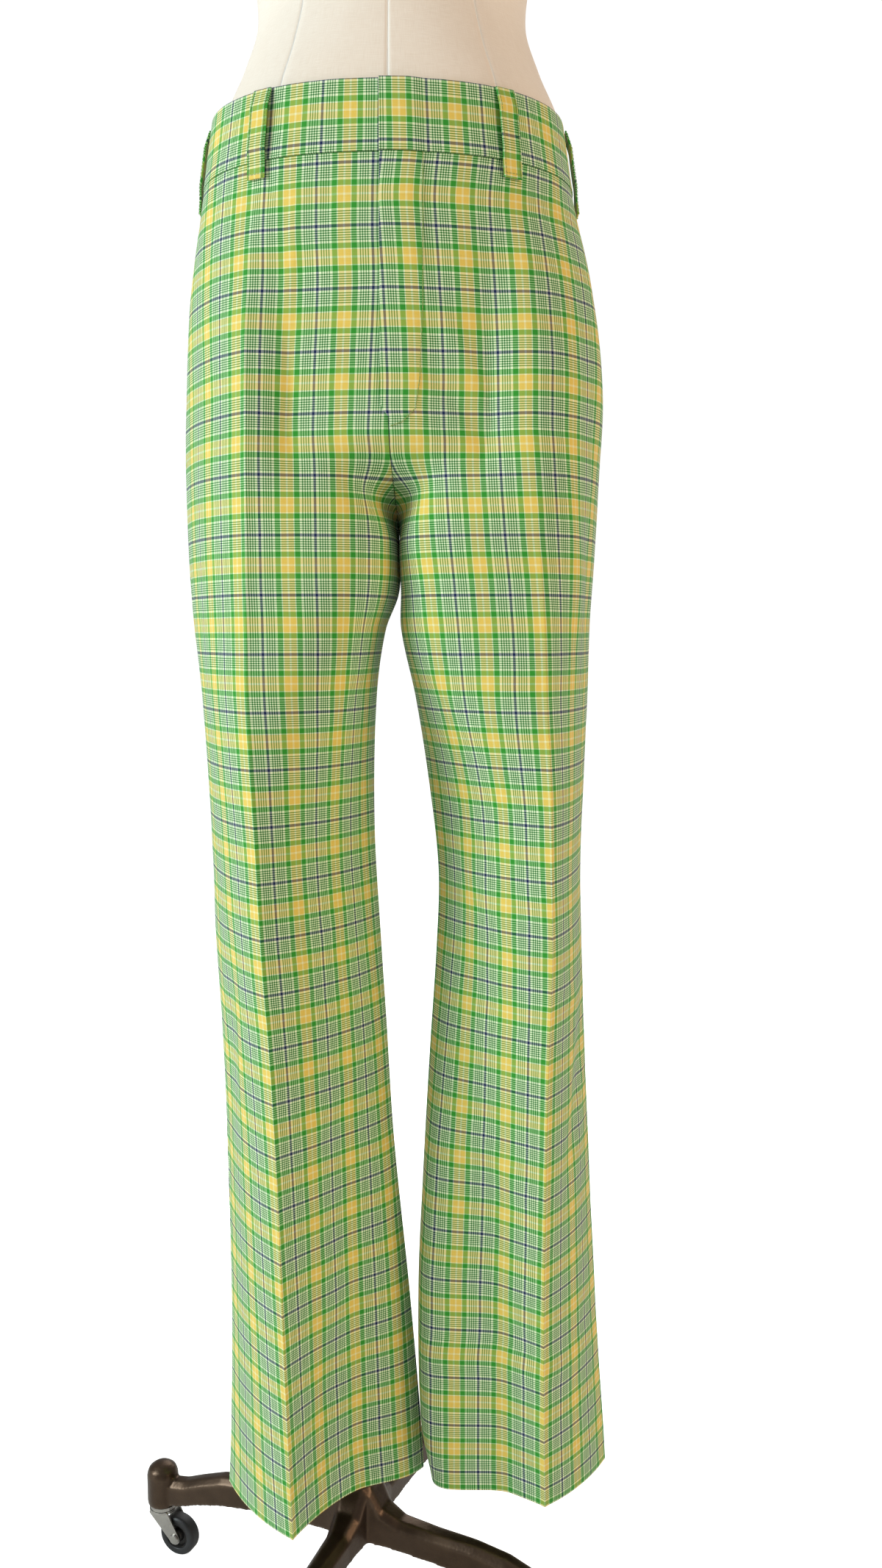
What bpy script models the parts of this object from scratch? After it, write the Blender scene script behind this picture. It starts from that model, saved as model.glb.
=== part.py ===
"""Tailored trousers with flared legs, worn by a limbless dress form on a cast stand with four casters.

Axes: +Z is up, the front of the trousers faces -Y, and +X is to the right of someone who faces them.
The origin is on the floor, under the middle of the whole. The pole stands POLE_X beside it, and the
middle of the dress form FORM_X beside it. Widths in the tables are measured from the form's middle.
"""

import math
from collections import namedtuple

import bmesh
import bpy
from mathutils import Matrix, Vector

# Heights above the floor
WAIST_TOP = 1.2545
WAIST_SEAM = 1.2045
FLY_END = 1.012
CROTCH = 0.930
HEM = 0.1365

# How far beside the form's middle the legs meet at the crotch
CROTCH_ASIDE = 0.0045

# Cloth
CLOTH = 0.0016
BAND_CLOTH = 0.0024
SEAM_GAP = 0.0004
LOOP_CLOTH = 0.0013
FACING_CLOTH = 0.0010

# Fly: the right front laps over the left one
FLY_EDGE = -0.006
FLY_UNDERLAP = 0.012
LAP_STEP = 0.008

# Side pockets, openings in the side seams
POCKET_TOP = 1.176
POCKET_FOOT = 1.002
POCKET_GAPE = 0.013
POCKET_STAND_OFF = 0.0015
FACING_MARGIN = 0.018
FACING_GAP = 0.0013

# Belt loops
LOOP_WIDTH = 0.0155
LOOP_TAIL = 0.013
LOOP_STAND_OFF = 0.0026
LOOP_CLEARANCE = 0.0006
FRONT_LOOPS_AT = {-1: 0.0935, 1: 0.087}

# Where the crease lies on the hip ring, as an angle from the middle of the front
CREASE_ANGLE = math.radians(37.5)
SIDE_ARC = 0.100

# Where the cloth turns from the hip ring into two legs: along the middle seam and along the crease
Turn = namedtuple("Turn", "seam_top crease_top crease_foot")
FRONT_TURN = Turn(FLY_END, 1.200, 1.030)
BACK_TURN = Turn(1.035, 1.130, 0.900)
RING_POWER = 2.15
PANEL_COLUMNS = (6, 6)
LEG_ROWS = (13, 8)
BAND_COLUMNS = 24
SUPPORT_OFFSET = 0.034

Ring = namedtuple("Ring", "z left right front back")
HIP_RINGS = (
    Ring(0.9000, 0.1655, 0.1600, -0.1055, 0.1010),
    Ring(0.9300, 0.1670, 0.1620, -0.1060, 0.1060),
    Ring(0.9950, 0.1680, 0.1645, -0.1080, 0.1160),
    Ring(1.0450, 0.1665, 0.1650, -0.1090, 0.1180),
    Ring(1.1000, 0.1625, 0.1605, -0.1090, 0.1130),
    Ring(1.1500, 0.1560, 0.1530, -0.1080, 0.1050),
    Ring(1.2045, 0.1470, 0.1405, -0.1065, 0.0960),
    Ring(1.2545, 0.1395, 0.1325, -0.1050, 0.0890),
)

# One row for each level of a leg: its outer, inner and crease lines, how far it reaches to the front and
# the back, where its side seam lies from front to back, and how round it is: beside the front crease, on the
# inner side near the crease and near the inseam, with the share where the one turns into the other, and
# beside the back crease. Below 0 is hollow, 0 a flat diamond, 1 an oval and more is squarer
Leg = namedtuple("Leg", "z outer inner crease front back side front_round inner_round seam_round turn_at back_round")
LEFT_LEG = (
    Leg(0.1365, -0.1455, 0.0230, -0.0820, -0.0950, 0.0910, -0.020, 0.30, -0.50, 0.30, 0.80, 0.30),
    Leg(0.1885, -0.1430, 0.0200, -0.0840, -0.0950, 0.0880, -0.019, 0.30, -0.45, 0.30, 0.80, 0.30),
    Leg(0.3000, -0.1410, 0.0110, -0.0870, -0.0960, 0.0780, -0.016, 0.32, -0.20, 0.32, 0.78, 0.32),
    Leg(0.4375, -0.1425, -0.0020, -0.0905, -0.0970, 0.0680, -0.012, 0.36, 0.10, 0.36, 0.75, 0.36),
    Leg(0.5415, -0.1460, -0.0080, -0.0945, -0.0980, 0.0630, -0.008, 0.40, 0.30, 0.40, 0.70, 0.40),
    Leg(0.6085, -0.1500, -0.0120, -0.0985, -0.1000, 0.0640, -0.005, 0.42, 0.42, 0.42, 0.70, 0.42),
    Leg(0.7085, -0.1525, -0.0170, -0.1025, -0.1020, 0.0690, -0.003, 0.46, 0.46, 0.46, 0.70, 0.46),
    Leg(0.8125, -0.1580, -0.0150, -0.1070, -0.1040, 0.0860, -0.001, 0.50, 1.10, 1.10, 0.70, 0.70),
    Leg(0.8680, -0.1635, -0.0078, -0.1063, -0.1048, 0.0985, 0.000, 0.46, 1.65, 1.65, 0.70, 0.95),
    Leg(0.8980, -0.1655, 0.0030, -0.1060, -0.1055, 0.1065, 0.000, 0.45, 1.95, 1.95, 0.70, 1.15),
    Leg(0.9300, -0.1670, 0.0045, -0.1055, -0.1060, 0.1130, 0.000, 0.44, 2.20, 2.20, 0.70, 1.30),
    Leg(1.0120, -0.1675, 0.0045, -0.1040, -0.1080, 0.1210, 0.000, 0.44, 2.40, 2.40, 0.70, 1.40),
)
RIGHT_LEG = (
    Leg(0.1365, 0.1835, 0.0290, 0.1250, -0.0540, 0.1120, 0.012, 0.30, -0.10, 1.60, 0.55, 0.30),
    Leg(0.1885, 0.1800, 0.0200, 0.1235, -0.0580, 0.1080, 0.011, 0.30, -0.10, 1.55, 0.55, 0.30),
    Leg(0.3045, 0.1715, 0.0180, 0.1215, -0.0660, 0.0970, 0.009, 0.32, -0.05, 1.40, 0.57, 0.32),
    Leg(0.4025, 0.1655, 0.0220, 0.1210, -0.0750, 0.0860, 0.006, 0.36, 0.10, 1.10, 0.60, 0.36),
    Leg(0.5135, 0.1600, 0.0280, 0.1215, -0.0840, 0.0760, 0.003, 0.40, 0.30, 0.70, 0.65, 0.40),
    Leg(0.6085, 0.1560, 0.0340, 0.1235, -0.0900, 0.0720, 0.001, 0.42, 0.42, 0.50, 0.70, 0.42),
    Leg(0.6700, 0.1540, 0.0355, 0.1225, -0.0940, 0.0720, 0.000, 0.44, 0.44, 0.44, 0.70, 0.44),
    Leg(0.7405, 0.1555, 0.0280, 0.1210, -0.0980, 0.0750, 0.000, 0.50, 0.50, 0.50, 0.70, 0.50),
    Leg(0.8125, 0.1580, 0.0170, 0.1170, -0.1030, 0.0870, 0.000, 0.58, 1.10, 1.10, 0.70, 0.70),
    Leg(0.8680, 0.1590, 0.0056, 0.1145, -0.1050, 0.0997, 0.000, 0.72, 1.70, 1.70, 0.70, 1.00),
    Leg(0.8980, 0.1604, 0.0057, 0.1125, -0.1055, 0.1063, 0.000, 0.80, 1.95, 1.95, 0.70, 1.15),
    Leg(0.9300, 0.1620, 0.0045, 0.1100, -0.1060, 0.1130, 0.000, 0.86, 2.20, 2.20, 0.70, 1.30),
    Leg(1.0120, 0.1640, 0.0045, 0.1045, -0.1080, 0.1210, 0.000, 0.95, 2.40, 2.40, 0.70, 1.40),
)

# Soft folds of the panels: a ridge (or, with a negative height, a trough) between two places, each
# given by its level and its share of the way from the inner edge, 0, over the crease, 0.5, to the side, 1
Fold = namedtuple("Fold", "panel z_from at_from z_to at_to width height")
FOLDS = (
    Fold("front_right", 1.150, 0.80, 0.985, 0.86, 0.10, 0.0035),
    Fold("front_right", 0.700, 0.10, 0.610, 0.42, 0.09, 0.0030),
    Fold("front_right", 0.630, 0.06, 0.555, 0.36, 0.08, -0.0026),
    Fold("front_right", 0.560, 0.92, 0.420, 0.72, 0.10, -0.0030),
    Fold("front_left", 0.400, 0.34, 0.230, 0.24, 0.09, 0.0034),
    Fold("front_left", 0.330, 0.20, 0.200, 0.38, 0.08, -0.0028),
    Fold("front_left", 0.620, 0.74, 0.470, 0.88, 0.10, -0.0026),
    Fold("back_left", 0.900, 0.12, 0.820, 0.46, 0.10, 0.0034),
    Fold("back_right", 0.900, 0.12, 0.820, 0.46, 0.10, 0.0034),
    Fold("back_left", 0.640, 0.30, 0.560, 0.70, 0.10, -0.0034),
    Fold("back_right", 0.640, 0.30, 0.560, 0.70, 0.10, -0.0034),
)

# Dress form
Torso = namedtuple("Torso", "z half_width front back power")
TORSO_RINGS = (
    Torso(1.0120, 0.1020, -0.0560, 0.0640, 2.0),
    Torso(1.0155, 0.1220, -0.0700, 0.0780, 2.0),
    Torso(1.0250, 0.1400, -0.0850, 0.0930, 2.0),
    Torso(1.0420, 0.1520, -0.0965, 0.1050, 2.0),
    Torso(1.0640, 0.1560, -0.1030, 0.1105, 2.0),
    Torso(1.1000, 0.1545, -0.1045, 0.1085, 2.0),
    Torso(1.1500, 0.1474, -0.1035, 0.1005, 2.1),
    Torso(1.2045, 0.1365, -0.1035, 0.0930, 2.15),
    Torso(1.2545, 0.1302, -0.1027, 0.0867, 2.15),
    Torso(1.2900, 0.1150, -0.0965, 0.0770, 2.1),
    Torso(1.3260, 0.1035, -0.0900, 0.0690, 2.1),
    Torso(1.3700, 0.1075, -0.0900, 0.0700, 2.1),
    Torso(1.4200, 0.1200, -0.0980, 0.0770, 2.2),
    Torso(1.4700, 0.1340, -0.1080, 0.0860, 2.3),
    Torso(1.5100, 0.1440, -0.1120, 0.0920, 2.3),
    Torso(1.5500, 0.1560, -0.1080, 0.0960, 2.2),
    Torso(1.5900, 0.1720, -0.0980, 0.0970, 2.1),
    Torso(1.6300, 0.1820, -0.0840, 0.0920, 2.1),
    Torso(1.6600, 0.1800, -0.0720, 0.0820, 2.1),
    Torso(1.6850, 0.1600, -0.0600, 0.0700, 2.1),
    Torso(1.7050, 0.1180, -0.0520, 0.0600, 2.1),
    Torso(1.7200, 0.0820, -0.0490, 0.0560, 2.0),
    Torso(1.7350, 0.0620, -0.0470, 0.0530, 2.0),
    Torso(1.7600, 0.0550, -0.0460, 0.0510, 2.0),
    Torso(1.7900, 0.0540, -0.0450, 0.0500, 2.0),
)
TORSO_SIDES = 36
BUST_LEVEL = 1.505
BUST_AT = 0.072
BUST_SPREAD = 0.062
BUST_RISE = 0.016
ARMHOLE_AT = 0.160
ARM_PLATE = 0.004
ARM_PLATE_MARGIN = 0.003
NECK_CAP = 0.010
REST_GAP = 0.0003

# Stand
POLE_RADIUS = 0.0095
FLANGE_RADIUS = 0.030
FLANGE = 0.005
SLEEVE_RADIUS = 0.017
SLEEVE_TOP = 0.165
SLEEVE_FOOT = 0.0775
ARM_REACH = 0.209
ARM_TURN = math.radians(23.3)
ARM_COUNT = 4
Arm = namedtuple("Arm", "along half_width foot top")
ARM_STATIONS = (
    Arm(0.000, 0.0150, 0.0775, 0.1400),
    Arm(0.016, 0.0150, 0.0775, 0.1260),
    Arm(0.026, 0.0130, 0.0765, 0.1080),
    Arm(0.042, 0.0112, 0.0750, 0.1000),
    Arm(0.075, 0.0105, 0.0730, 0.0975),
    Arm(0.110, 0.0100, 0.0700, 0.0965),
    Arm(0.140, 0.0100, 0.0655, 0.0920),
    Arm(0.165, 0.0098, 0.0590, 0.0830),
    Arm(0.182, 0.0096, 0.0530, 0.0760),
    Arm(0.196, 0.0094, 0.0495, 0.0735),
    Arm(0.209, 0.0070, 0.0495, 0.0735),
)
ARM_CHAMFER = 0.0055
SOCKET_RADIUS = 0.0146
SOCKET_FOOT = 0.0460
SOCKET_TOP = 0.0865

# Casters
WHEEL_RADIUS = 0.0185
WHEEL_HALF_WIDTH = 0.0065
WHEEL_SIDES = 28
AXLE_RADIUS = 0.0024
RUNNING_GAP = 0.0004
TRAIL = 0.0180
FORK_INNER = 0.0082
FORK_PLATE = 0.0014
CROWN_RADIUS = 0.0130
CROWN_FOOT = 0.0400
CROWN_TOP = 0.0422
RACE_RADIUS = 0.0125
KINGPIN_RADIUS = 0.0030
ROUND_SIDES = 24

BASE_HALF_WIDTH = ARM_REACH * math.cos(ARM_TURN) + SOCKET_RADIUS
WIDEST_RIGHT = SUPPORT_OFFSET + max(row.outer for row in RIGHT_LEG)
POLE_X = (BASE_HALF_WIDTH - WIDEST_RIGHT) / 2
FORM_X = POLE_X + SUPPORT_OFFSET

COLOURS = {
    "cloth": ((0.43, 0.62, 0.22), 0.85, 0.0),
    "linen": ((0.80, 0.74, 0.64), 0.90, 0.0),
    "cap": ((0.30, 0.20, 0.13), 0.45, 0.0),
    "cast": ((0.085, 0.062, 0.045), 0.42, 0.85),
    "steel": ((0.30, 0.26, 0.22), 0.38, 1.0),
    "tyre": ((0.012, 0.012, 0.013), 0.50, 0.0),
}


def clear_scene():
    """Remove what the file opened with."""
    for obj in list(bpy.data.objects):
        bpy.data.objects.remove(obj, do_unlink=True)


def make_collection(name, hidden=False):
    """A collection in the scene; a hidden one holds cutters."""
    collection = bpy.data.collections.new(name)
    bpy.context.scene.collection.children.link(collection)
    collection.hide_render = hidden
    return collection


def make_material(key):
    """The Principled material of one finish."""
    colour, roughness, metallic = COLOURS[key]
    material = bpy.data.materials.new(key)
    material.use_nodes = True
    shader = material.node_tree.nodes["Principled BSDF"]
    shader.inputs["Base Color"].default_value = (*colour, 1.0)
    shader.inputs["Roughness"].default_value = roughness
    shader.inputs["Metallic"].default_value = metallic
    return material


def smooth_row(table, z):
    """The table's columns at level z, on a smooth curve through its rows."""
    rows = sorted(table, key=lambda row: row.z)
    z = min(max(z, rows[0].z), rows[-1].z)
    index = max(i for i, row in enumerate(rows[:-1]) if row.z <= z + 1e-9)
    low, high = rows[index], rows[index + 1]
    before, after = rows[max(index - 1, 0)], rows[min(index + 2, len(rows) - 1)]
    span = high.z - low.z
    share = (z - low.z) / span
    columns = []
    for name in low._fields[1:]:
        start, end = getattr(low, name), getattr(high, name)
        slope_in = (end - getattr(before, name)) / (high.z - before.z) * span
        slope_out = (getattr(after, name) - start) / (after.z - low.z) * span
        columns.append(
            start * (1 + 2 * share) * (1 - share) ** 2
            + slope_in * share * (1 - share) ** 2
            + end * share**2 * (3 - 2 * share)
            + slope_out * share**2 * (share - 1)
        )
    return low._replace(**dict(zip(low._fields, [z, *columns])))


def ease(value, start, end):
    """A soft step from 0 at start to 1 at end."""
    share = min(max((value - start) / (end - start), 0.0), 1.0)
    return share * share * (3 - 2 * share)


def signed_power(value, power):
    """A power that keeps the sign, for the super-ellipse."""
    return math.copysign(abs(value) ** power, value)


def ring_point(z, angle, side, out=0.0):
    """A point on the trousers' outer surface round the hips.

    The angle runs from 0 at the middle of the front to pi at the middle of the back, and out moves the
    point outwards.
    """
    ring = smooth_row(HIP_RINGS, z)
    half_width = (ring.left if side < 0 else ring.right) + out
    depth = (-ring.front if math.cos(angle) > 0 else ring.back) + out
    x = side * half_width * signed_power(math.sin(angle), 2 / RING_POWER)
    y = -depth * signed_power(math.cos(angle), 2 / RING_POWER)
    return Vector((x, y, z))


def ring_angle(z, x, side):
    """The angle at which the front of the ring crosses x."""
    ring = smooth_row(HIP_RINGS, z)
    half_width = ring.left if side < 0 else ring.right
    return math.asin(signed_power(side * x / half_width, RING_POWER / 2))


def mix(start, end, share):
    """A point on the line through two points, also beyond them."""
    return start + (end - start) * share


def quarter(crease, edge, share, roundness):
    """A point between the crease, at share 0, and an edge, at share 1, where the wall runs front to back."""
    across, along = math.sin(share * math.pi / 2), abs(math.cos(share * math.pi / 2))
    power = 2 * max(roundness, 1.0)
    size = (across**power + along**power) ** (1 / power)
    oval = Vector(
        (
            crease.x + (edge.x - crease.x) * across / size,
            edge.y + (crease.y - edge.y) * along / size,
        )
    )
    return mix(mix(crease, edge, share), oval, min(roundness, 1.0))


def fold_height(panel, z, share):
    """How far the folds move the cloth outwards at this place of a panel."""
    height = 0.0
    for fold in FOLDS:
        if fold.panel != panel:
            continue
        along = Vector((fold.z_to - fold.z_from, (fold.at_to - fold.at_from) * 0.25))
        place = Vector((z - fold.z_from, (share - fold.at_from) * 0.25))
        reach = place.dot(along) / along.length_squared
        nearest = min(max(reach, 0.0), 1.0)
        away = (place - along * nearest).length / (fold.width * 0.25)
        if away < 1:
            height += fold.height * (1 - away * away) ** 2 * (0.35 + 0.65 * math.sin(math.pi * nearest))
    return height


def pocket_opening(z):
    """0 above and below the pocket, 1 in the middle of its opening."""
    if not POCKET_FOOT < z < POCKET_TOP:
        return 0.0
    return math.sin(math.pi * (z - POCKET_FOOT) / (POCKET_TOP - POCKET_FOOT)) ** 0.8


def inner_edge(z, side, front):
    """The x of a panel's inner edge: at the fly, at the seat seam, or down the inseam."""
    leg = smooth_row(LEFT_LEG if side < 0 else RIGHT_LEG, z)
    turned = 1.0 - ease(z, CROTCH, (FRONT_TURN if front else BACK_TURN).seam_top + LAP_STEP)
    middle = leg.inner if z < CROTCH else CROTCH_ASIDE * (1.0 - ease(z, CROTCH, FLY_END))
    plain = middle + side * (SEAM_GAP / 2 + CLOTH * min(1.0, 4.0 * turned))
    if not front or z < FLY_END + LAP_STEP:
        return plain
    lapped = FLY_EDGE if side > 0 else FLY_EDGE + FLY_UNDERLAP
    return plain + (lapped - plain) * min((z - FLY_END - LAP_STEP) / LAP_STEP, 1.0)


def leg_share(z, front, at):
    """How far the shape has turned from the hip ring, 0, into two legs, 1, at one place across a panel."""
    turn = FRONT_TURN if front else BACK_TURN
    at_edge = 1.0 - ease(z, CROTCH, turn.seam_top)
    at_crease = 1.0 - ease(z, turn.crease_foot, turn.crease_top)
    return at_edge + (at_crease - at_edge) * ease(at, 0.3 if front else 0.1, 0.5)


def surface_point(z, side, front, at, out):
    """A point of the legs and seat: at runs from a panel's inner edge, 0, over its crease, 0.5, to the side, 1.

    out moves it outwards from the cloth's outer face.
    """
    leg = smooth_row(LEFT_LEG if side < 0 else RIGHT_LEG, z)
    ring = smooth_row(HIP_RINGS, z)
    widest = leg.outer if z < CROTCH else side * (ring.left if side < 0 else ring.right)
    edge_x = inner_edge(z, side, front)
    back_crease = 0.5 * (leg.crease + 0.5 * (leg.outer + leg.inner))
    crease = Vector((leg.crease if front else back_crease, leg.front - out if front else leg.back + out))
    outer = Vector((widest + side * out, leg.side))
    inner = Vector((edge_x, 0.0))
    edge_angle = ring_angle(z, edge_x, side)
    start = edge_angle if front else math.pi - edge_angle
    middle = CREASE_ANGLE if front else math.pi - CREASE_ANGLE
    if at < 0.5:
        angle = start + (middle - start) * at * 2
        share = 1 - at * 2
        turned = ease(share, leg.turn_at - 0.25, leg.turn_at + 0.25)
        low = quarter(crease, inner, share, leg.inner_round + (leg.seam_round - leg.inner_round) * turned)
    else:
        angle = middle + (math.pi / 2 - middle) * (at - 0.5) * 2
        low = quarter(crease, outer, (at - 0.5) * 2, leg.front_round if front else leg.back_round)
    high = ring_point(z, angle, side, out)
    return Vector((*Vector((high.x, high.y)).lerp(low, leg_share(z, front, at)), z))


def panel_row(name, z, side, front, inner_columns, outer_columns):
    """The points of a panel's inner face at one level, from its inner edge over the crease to its side."""
    points = []
    open_share = pocket_opening(z) if front else 0.0
    for column in range(inner_columns + outer_columns + 1):
        if column <= inner_columns:
            at = 0.5 * column / inner_columns
        else:
            narrowed = 1.0 - open_share * POCKET_GAPE / SIDE_ARC
            at = 0.5 + 0.5 * (column - inner_columns) / outer_columns * narrowed
        lift = fold_height(name, z, at)
        if front and side > 0 and column < 2:
            lift += (CLOTH + SEAM_GAP) * min(max((z - FLY_END) / LAP_STEP, 0.0), 1.0)
        lift += open_share * POCKET_STAND_OFF * ease(at, 0.75, 0.95)
        points.append(surface_point(z, side, front, at, lift - CLOTH))
    return trim_ends(points, z)


def trim_ends(points, z):
    """Draws the last point back by half a seam, so that the panels of a seam lie apart."""
    points[-1] = points[-1] + (points[-2] - points[-1]).normalized() * (SEAM_GAP / 2)
    if z < CROTCH + 0.001:
        points[0] = points[0] + (points[1] - points[0]).normalized() * (SEAM_GAP / 2)
    return points


def grid_object(name, rows, thickness, material, collection, flip):
    """A sheet through rows of points, thickened outwards into one closed wall."""
    mesh = bpy.data.meshes.new(name)
    width = len(rows[0])
    points = [point + Vector((FORM_X, 0, 0)) for row in rows for point in row]
    faces = []
    for i in range(len(rows) - 1):
        for j in range(width - 1):
            corner = i * width + j
            face = (corner, corner + 1, corner + width + 1, corner + width)
            faces.append(face[::-1] if flip else face)
    mesh.from_pydata(points, [], faces)
    mesh.shade_smooth()
    obj = bpy.data.objects.new(name, mesh)
    collection.objects.link(obj)
    obj.data.materials.append(material)
    wall = obj.modifiers.new("Wall", "SOLIDIFY")
    wall.thickness = thickness
    wall.offset = 1.0
    wall.use_even_offset = True
    return obj


def panel_levels(leg_rows, seat_rows):
    """The levels of a panel's rows, closer together where it turns under the crotch."""
    leg = [HEM + (0.895 - HEM) * i / leg_rows for i in range(leg_rows)]
    fork = [0.895, CROTCH, 0.944, 0.958, 0.974, 0.992, FLY_END, FLY_END + LAP_STEP, FLY_END + 2 * LAP_STEP]
    top = WAIST_SEAM - SEAM_GAP / 2
    seat = [fork[-1] + (top - fork[-1]) * (i + 1) / seat_rows for i in range(seat_rows)]
    return leg + fork + seat


def make_panels(material, collection):
    """The four panels that are cut for the legs and the seat."""
    for side, place in ((-1, "left"), (1, "right")):
        for front, part in ((True, "front"), (False, "back")):
            name = f"{part}_{place}"
            levels = panel_levels(*LEG_ROWS)
            rows = [panel_row(name, z, side, front, *PANEL_COLUMNS) for z in levels]
            flip = (side > 0) != front
            grid_object(name, rows, CLOTH, material, collection, flip)


def make_waistband(material, collection):
    """The band in two halves, the right one lapped over the left one at the front."""
    levels = [WAIST_SEAM + SEAM_GAP / 2, 0.5 * (WAIST_SEAM + WAIST_TOP), WAIST_TOP]
    for side, place in ((-1, "left"), (1, "right")):
        rows = []
        for z in levels:
            edge = FLY_EDGE if side > 0 else FLY_EDGE + FLY_UNDERLAP
            start = ring_angle(z, edge, side)
            row = []
            for column in range(BAND_COLUMNS + 1):
                angle = start + (math.pi - start) * column / BAND_COLUMNS
                lapped = side > 0 and column < 2
                lift = BAND_CLOTH + SEAM_GAP if lapped else 0.0
                row.append(ring_point(z, angle, side, lift - CLOTH))
            row[-1].x += side * SEAM_GAP / 2
            rows.append(row)
        grid_object(f"waistband_{place}", rows, BAND_CLOTH, material, collection, side < 0)


def make_pocket_facings(material, collection):
    """The strips of cloth that show inside the gaping side pockets, behind both panels of the seam."""
    places = ((True, 0.75), (True, 5 / 6), (True, 11 / 12), (True, 1.0), (False, 11 / 12))
    inset = CLOTH + FACING_GAP + FACING_CLOTH
    levels = [z for z in panel_levels(*LEG_ROWS) if POCKET_FOOT - FACING_MARGIN < z < POCKET_TOP + FACING_MARGIN]
    for side, place in ((-1, "left"), (1, "right")):
        rows = [[surface_point(z, side, front, at, -inset) for front, at in places] for z in levels]
        grid_object(f"pocket_facing_{place}", rows, FACING_CLOTH, material, collection, side < 0)


def make_belt_loops(material, collection):
    """Five loops: two at the front, two at the sides and one at the middle of the back."""
    front = [(side, ring_angle(WAIST_SEAM, side * FRONT_LOOPS_AT[side], side)) for side in (-1, 1)]
    places = front + [(-1, math.pi / 2), (1, math.pi / 2), (1, math.pi)]
    low, high = WAIST_SEAM - LOOP_TAIL, WAIST_TOP - 0.0005
    profile = ((0.0, 0.0), (0.16, 0.35), (0.34, 1.0), (0.80, 1.0), (1.0, 0.0))
    for number, (side, angle) in enumerate(places, start=1):
        rows = []
        for share, stand in profile:
            z = low + (high - low) * share
            out = BAND_CLOTH - CLOTH + LOOP_CLEARANCE + LOOP_STAND_OFF * stand
            middle = ring_point(z, angle, side, out)
            ahead = ring_point(z, angle - 0.01, side, out)
            across = (middle - ahead).normalized() if angle < math.pi else Vector((-side, 0, 0))
            rows.append([middle + across * (LOOP_WIDTH / 2 * step) for step in (-1, 0, 1)])
        grid_object(f"belt_loop_{number}", rows, LOOP_CLOTH, material, collection, side < 0)


def torso_point(ring, turn):
    """A point of the dress form's skin; turn 0 is its right side as seen from the front."""
    depth = ring.front if math.sin(turn) < 0 else ring.back
    x = ring.half_width * signed_power(math.cos(turn), 2 / ring.power)
    y = abs(depth) * signed_power(math.sin(turn), 2 / ring.power)
    if math.sin(turn) < 0:
        across = (abs(x) - BUST_AT) / BUST_SPREAD
        up = (ring.z - BUST_LEVEL) / BUST_SPREAD
        y -= BUST_RISE * math.exp(-across * across - up * up)
    return Vector((x, y, ring.z))


def make_torso(linen, cap, collection):
    """The padded body, its flat arm plates and its neck cap."""
    shape = bmesh.new()
    loops = []
    for ring in TORSO_RINGS:
        turns = [2 * math.pi * i / TORSO_SIDES for i in range(TORSO_SIDES)]
        loops.append([shape.verts.new(torso_point(ring, turn) + Vector((FORM_X, 0, 0))) for turn in turns])
    for low, high in zip(loops, loops[1:]):
        for i in range(TORSO_SIDES):
            j = (i + 1) % TORSO_SIDES
            shape.faces.new((low[i], low[j], high[j], high[i]))
    shape.faces.new(loops[0][::-1])
    shape.faces.new(loops[-1])
    for side in (-1, 1):
        cut = bmesh.ops.bisect_plane(
            shape,
            geom=shape.verts[:] + shape.edges[:] + shape.faces[:],
            plane_co=(FORM_X + side * ARMHOLE_AT, 0, 0),
            plane_no=(side, 0, 0),
            clear_outer=True,
        )
        rim = [item for item in cut["geom_cut"] if isinstance(item, bmesh.types.BMEdge)]
        bmesh.ops.contextual_create(shape, geom=rim)
        corners = [vert.co for edge in rim for vert in edge.verts]
        make_arm_plate(side, corners, cap, collection)
    bmesh.ops.recalc_face_normals(shape, faces=shape.faces[:])
    finish_bmesh("torso", shape, linen, collection)


def make_arm_plate(side, corners, material, collection):
    """An oval plate on the flat of the armhole, a little smaller than it."""
    low = [min(corner[axis] for corner in corners) for axis in (1, 2)]
    high = [max(corner[axis] for corner in corners) for axis in (1, 2)]
    radii = [(b - a) / 2 - ARM_PLATE_MARGIN for a, b in zip(low, high)]
    middle = [(a + b) / 2 for a, b in zip(low, high)]
    shape = bmesh.new()
    bmesh.ops.create_cone(
        shape, cap_ends=True, segments=ROUND_SIDES, radius1=1.0, radius2=0.93, depth=ARM_PLATE
    )
    turn = Matrix.Rotation(side * math.pi / 2, 4, "Y")
    bmesh.ops.transform(shape, matrix=turn, verts=shape.verts[:])
    bmesh.ops.scale(shape, vec=(1, radii[0], radii[1]), verts=shape.verts[:])
    place = Vector((FORM_X + side * (ARMHOLE_AT + REST_GAP + ARM_PLATE / 2), *middle))
    bmesh.ops.translate(shape, vec=place, verts=shape.verts[:])
    finish_bmesh(f"arm_plate_{'left' if side < 0 else 'right'}", shape, material, collection)


def make_neck_cap(material, collection):
    """A shallow domed cap on the flat top of the neck."""
    top = TORSO_RINGS[-1]
    shape = bmesh.new()
    loops = []
    for rise, share in ((0.0, 1.03), (0.55, 1.03), (0.85, 0.93), (1.0, 0.70)):
        ring = top._replace(z=top.z + REST_GAP + NECK_CAP * rise)
        turns = [2 * math.pi * i / ROUND_SIDES for i in range(ROUND_SIDES)]
        loops.append(
            [
                shape.verts.new(
                    (
                        FORM_X + torso_point(ring, turn).x * share,
                        torso_point(ring, turn).y * share,
                        ring.z,
                    )
                )
                for turn in turns
            ]
        )
    for low, high in zip(loops, loops[1:]):
        for i in range(ROUND_SIDES):
            j = (i + 1) % ROUND_SIDES
            shape.faces.new((low[i], low[j], high[j], high[i]))
    shape.faces.new(loops[0][::-1])
    shape.faces.new(loops[-1])
    finish_bmesh("neck_cap", shape, material, collection)


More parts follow.
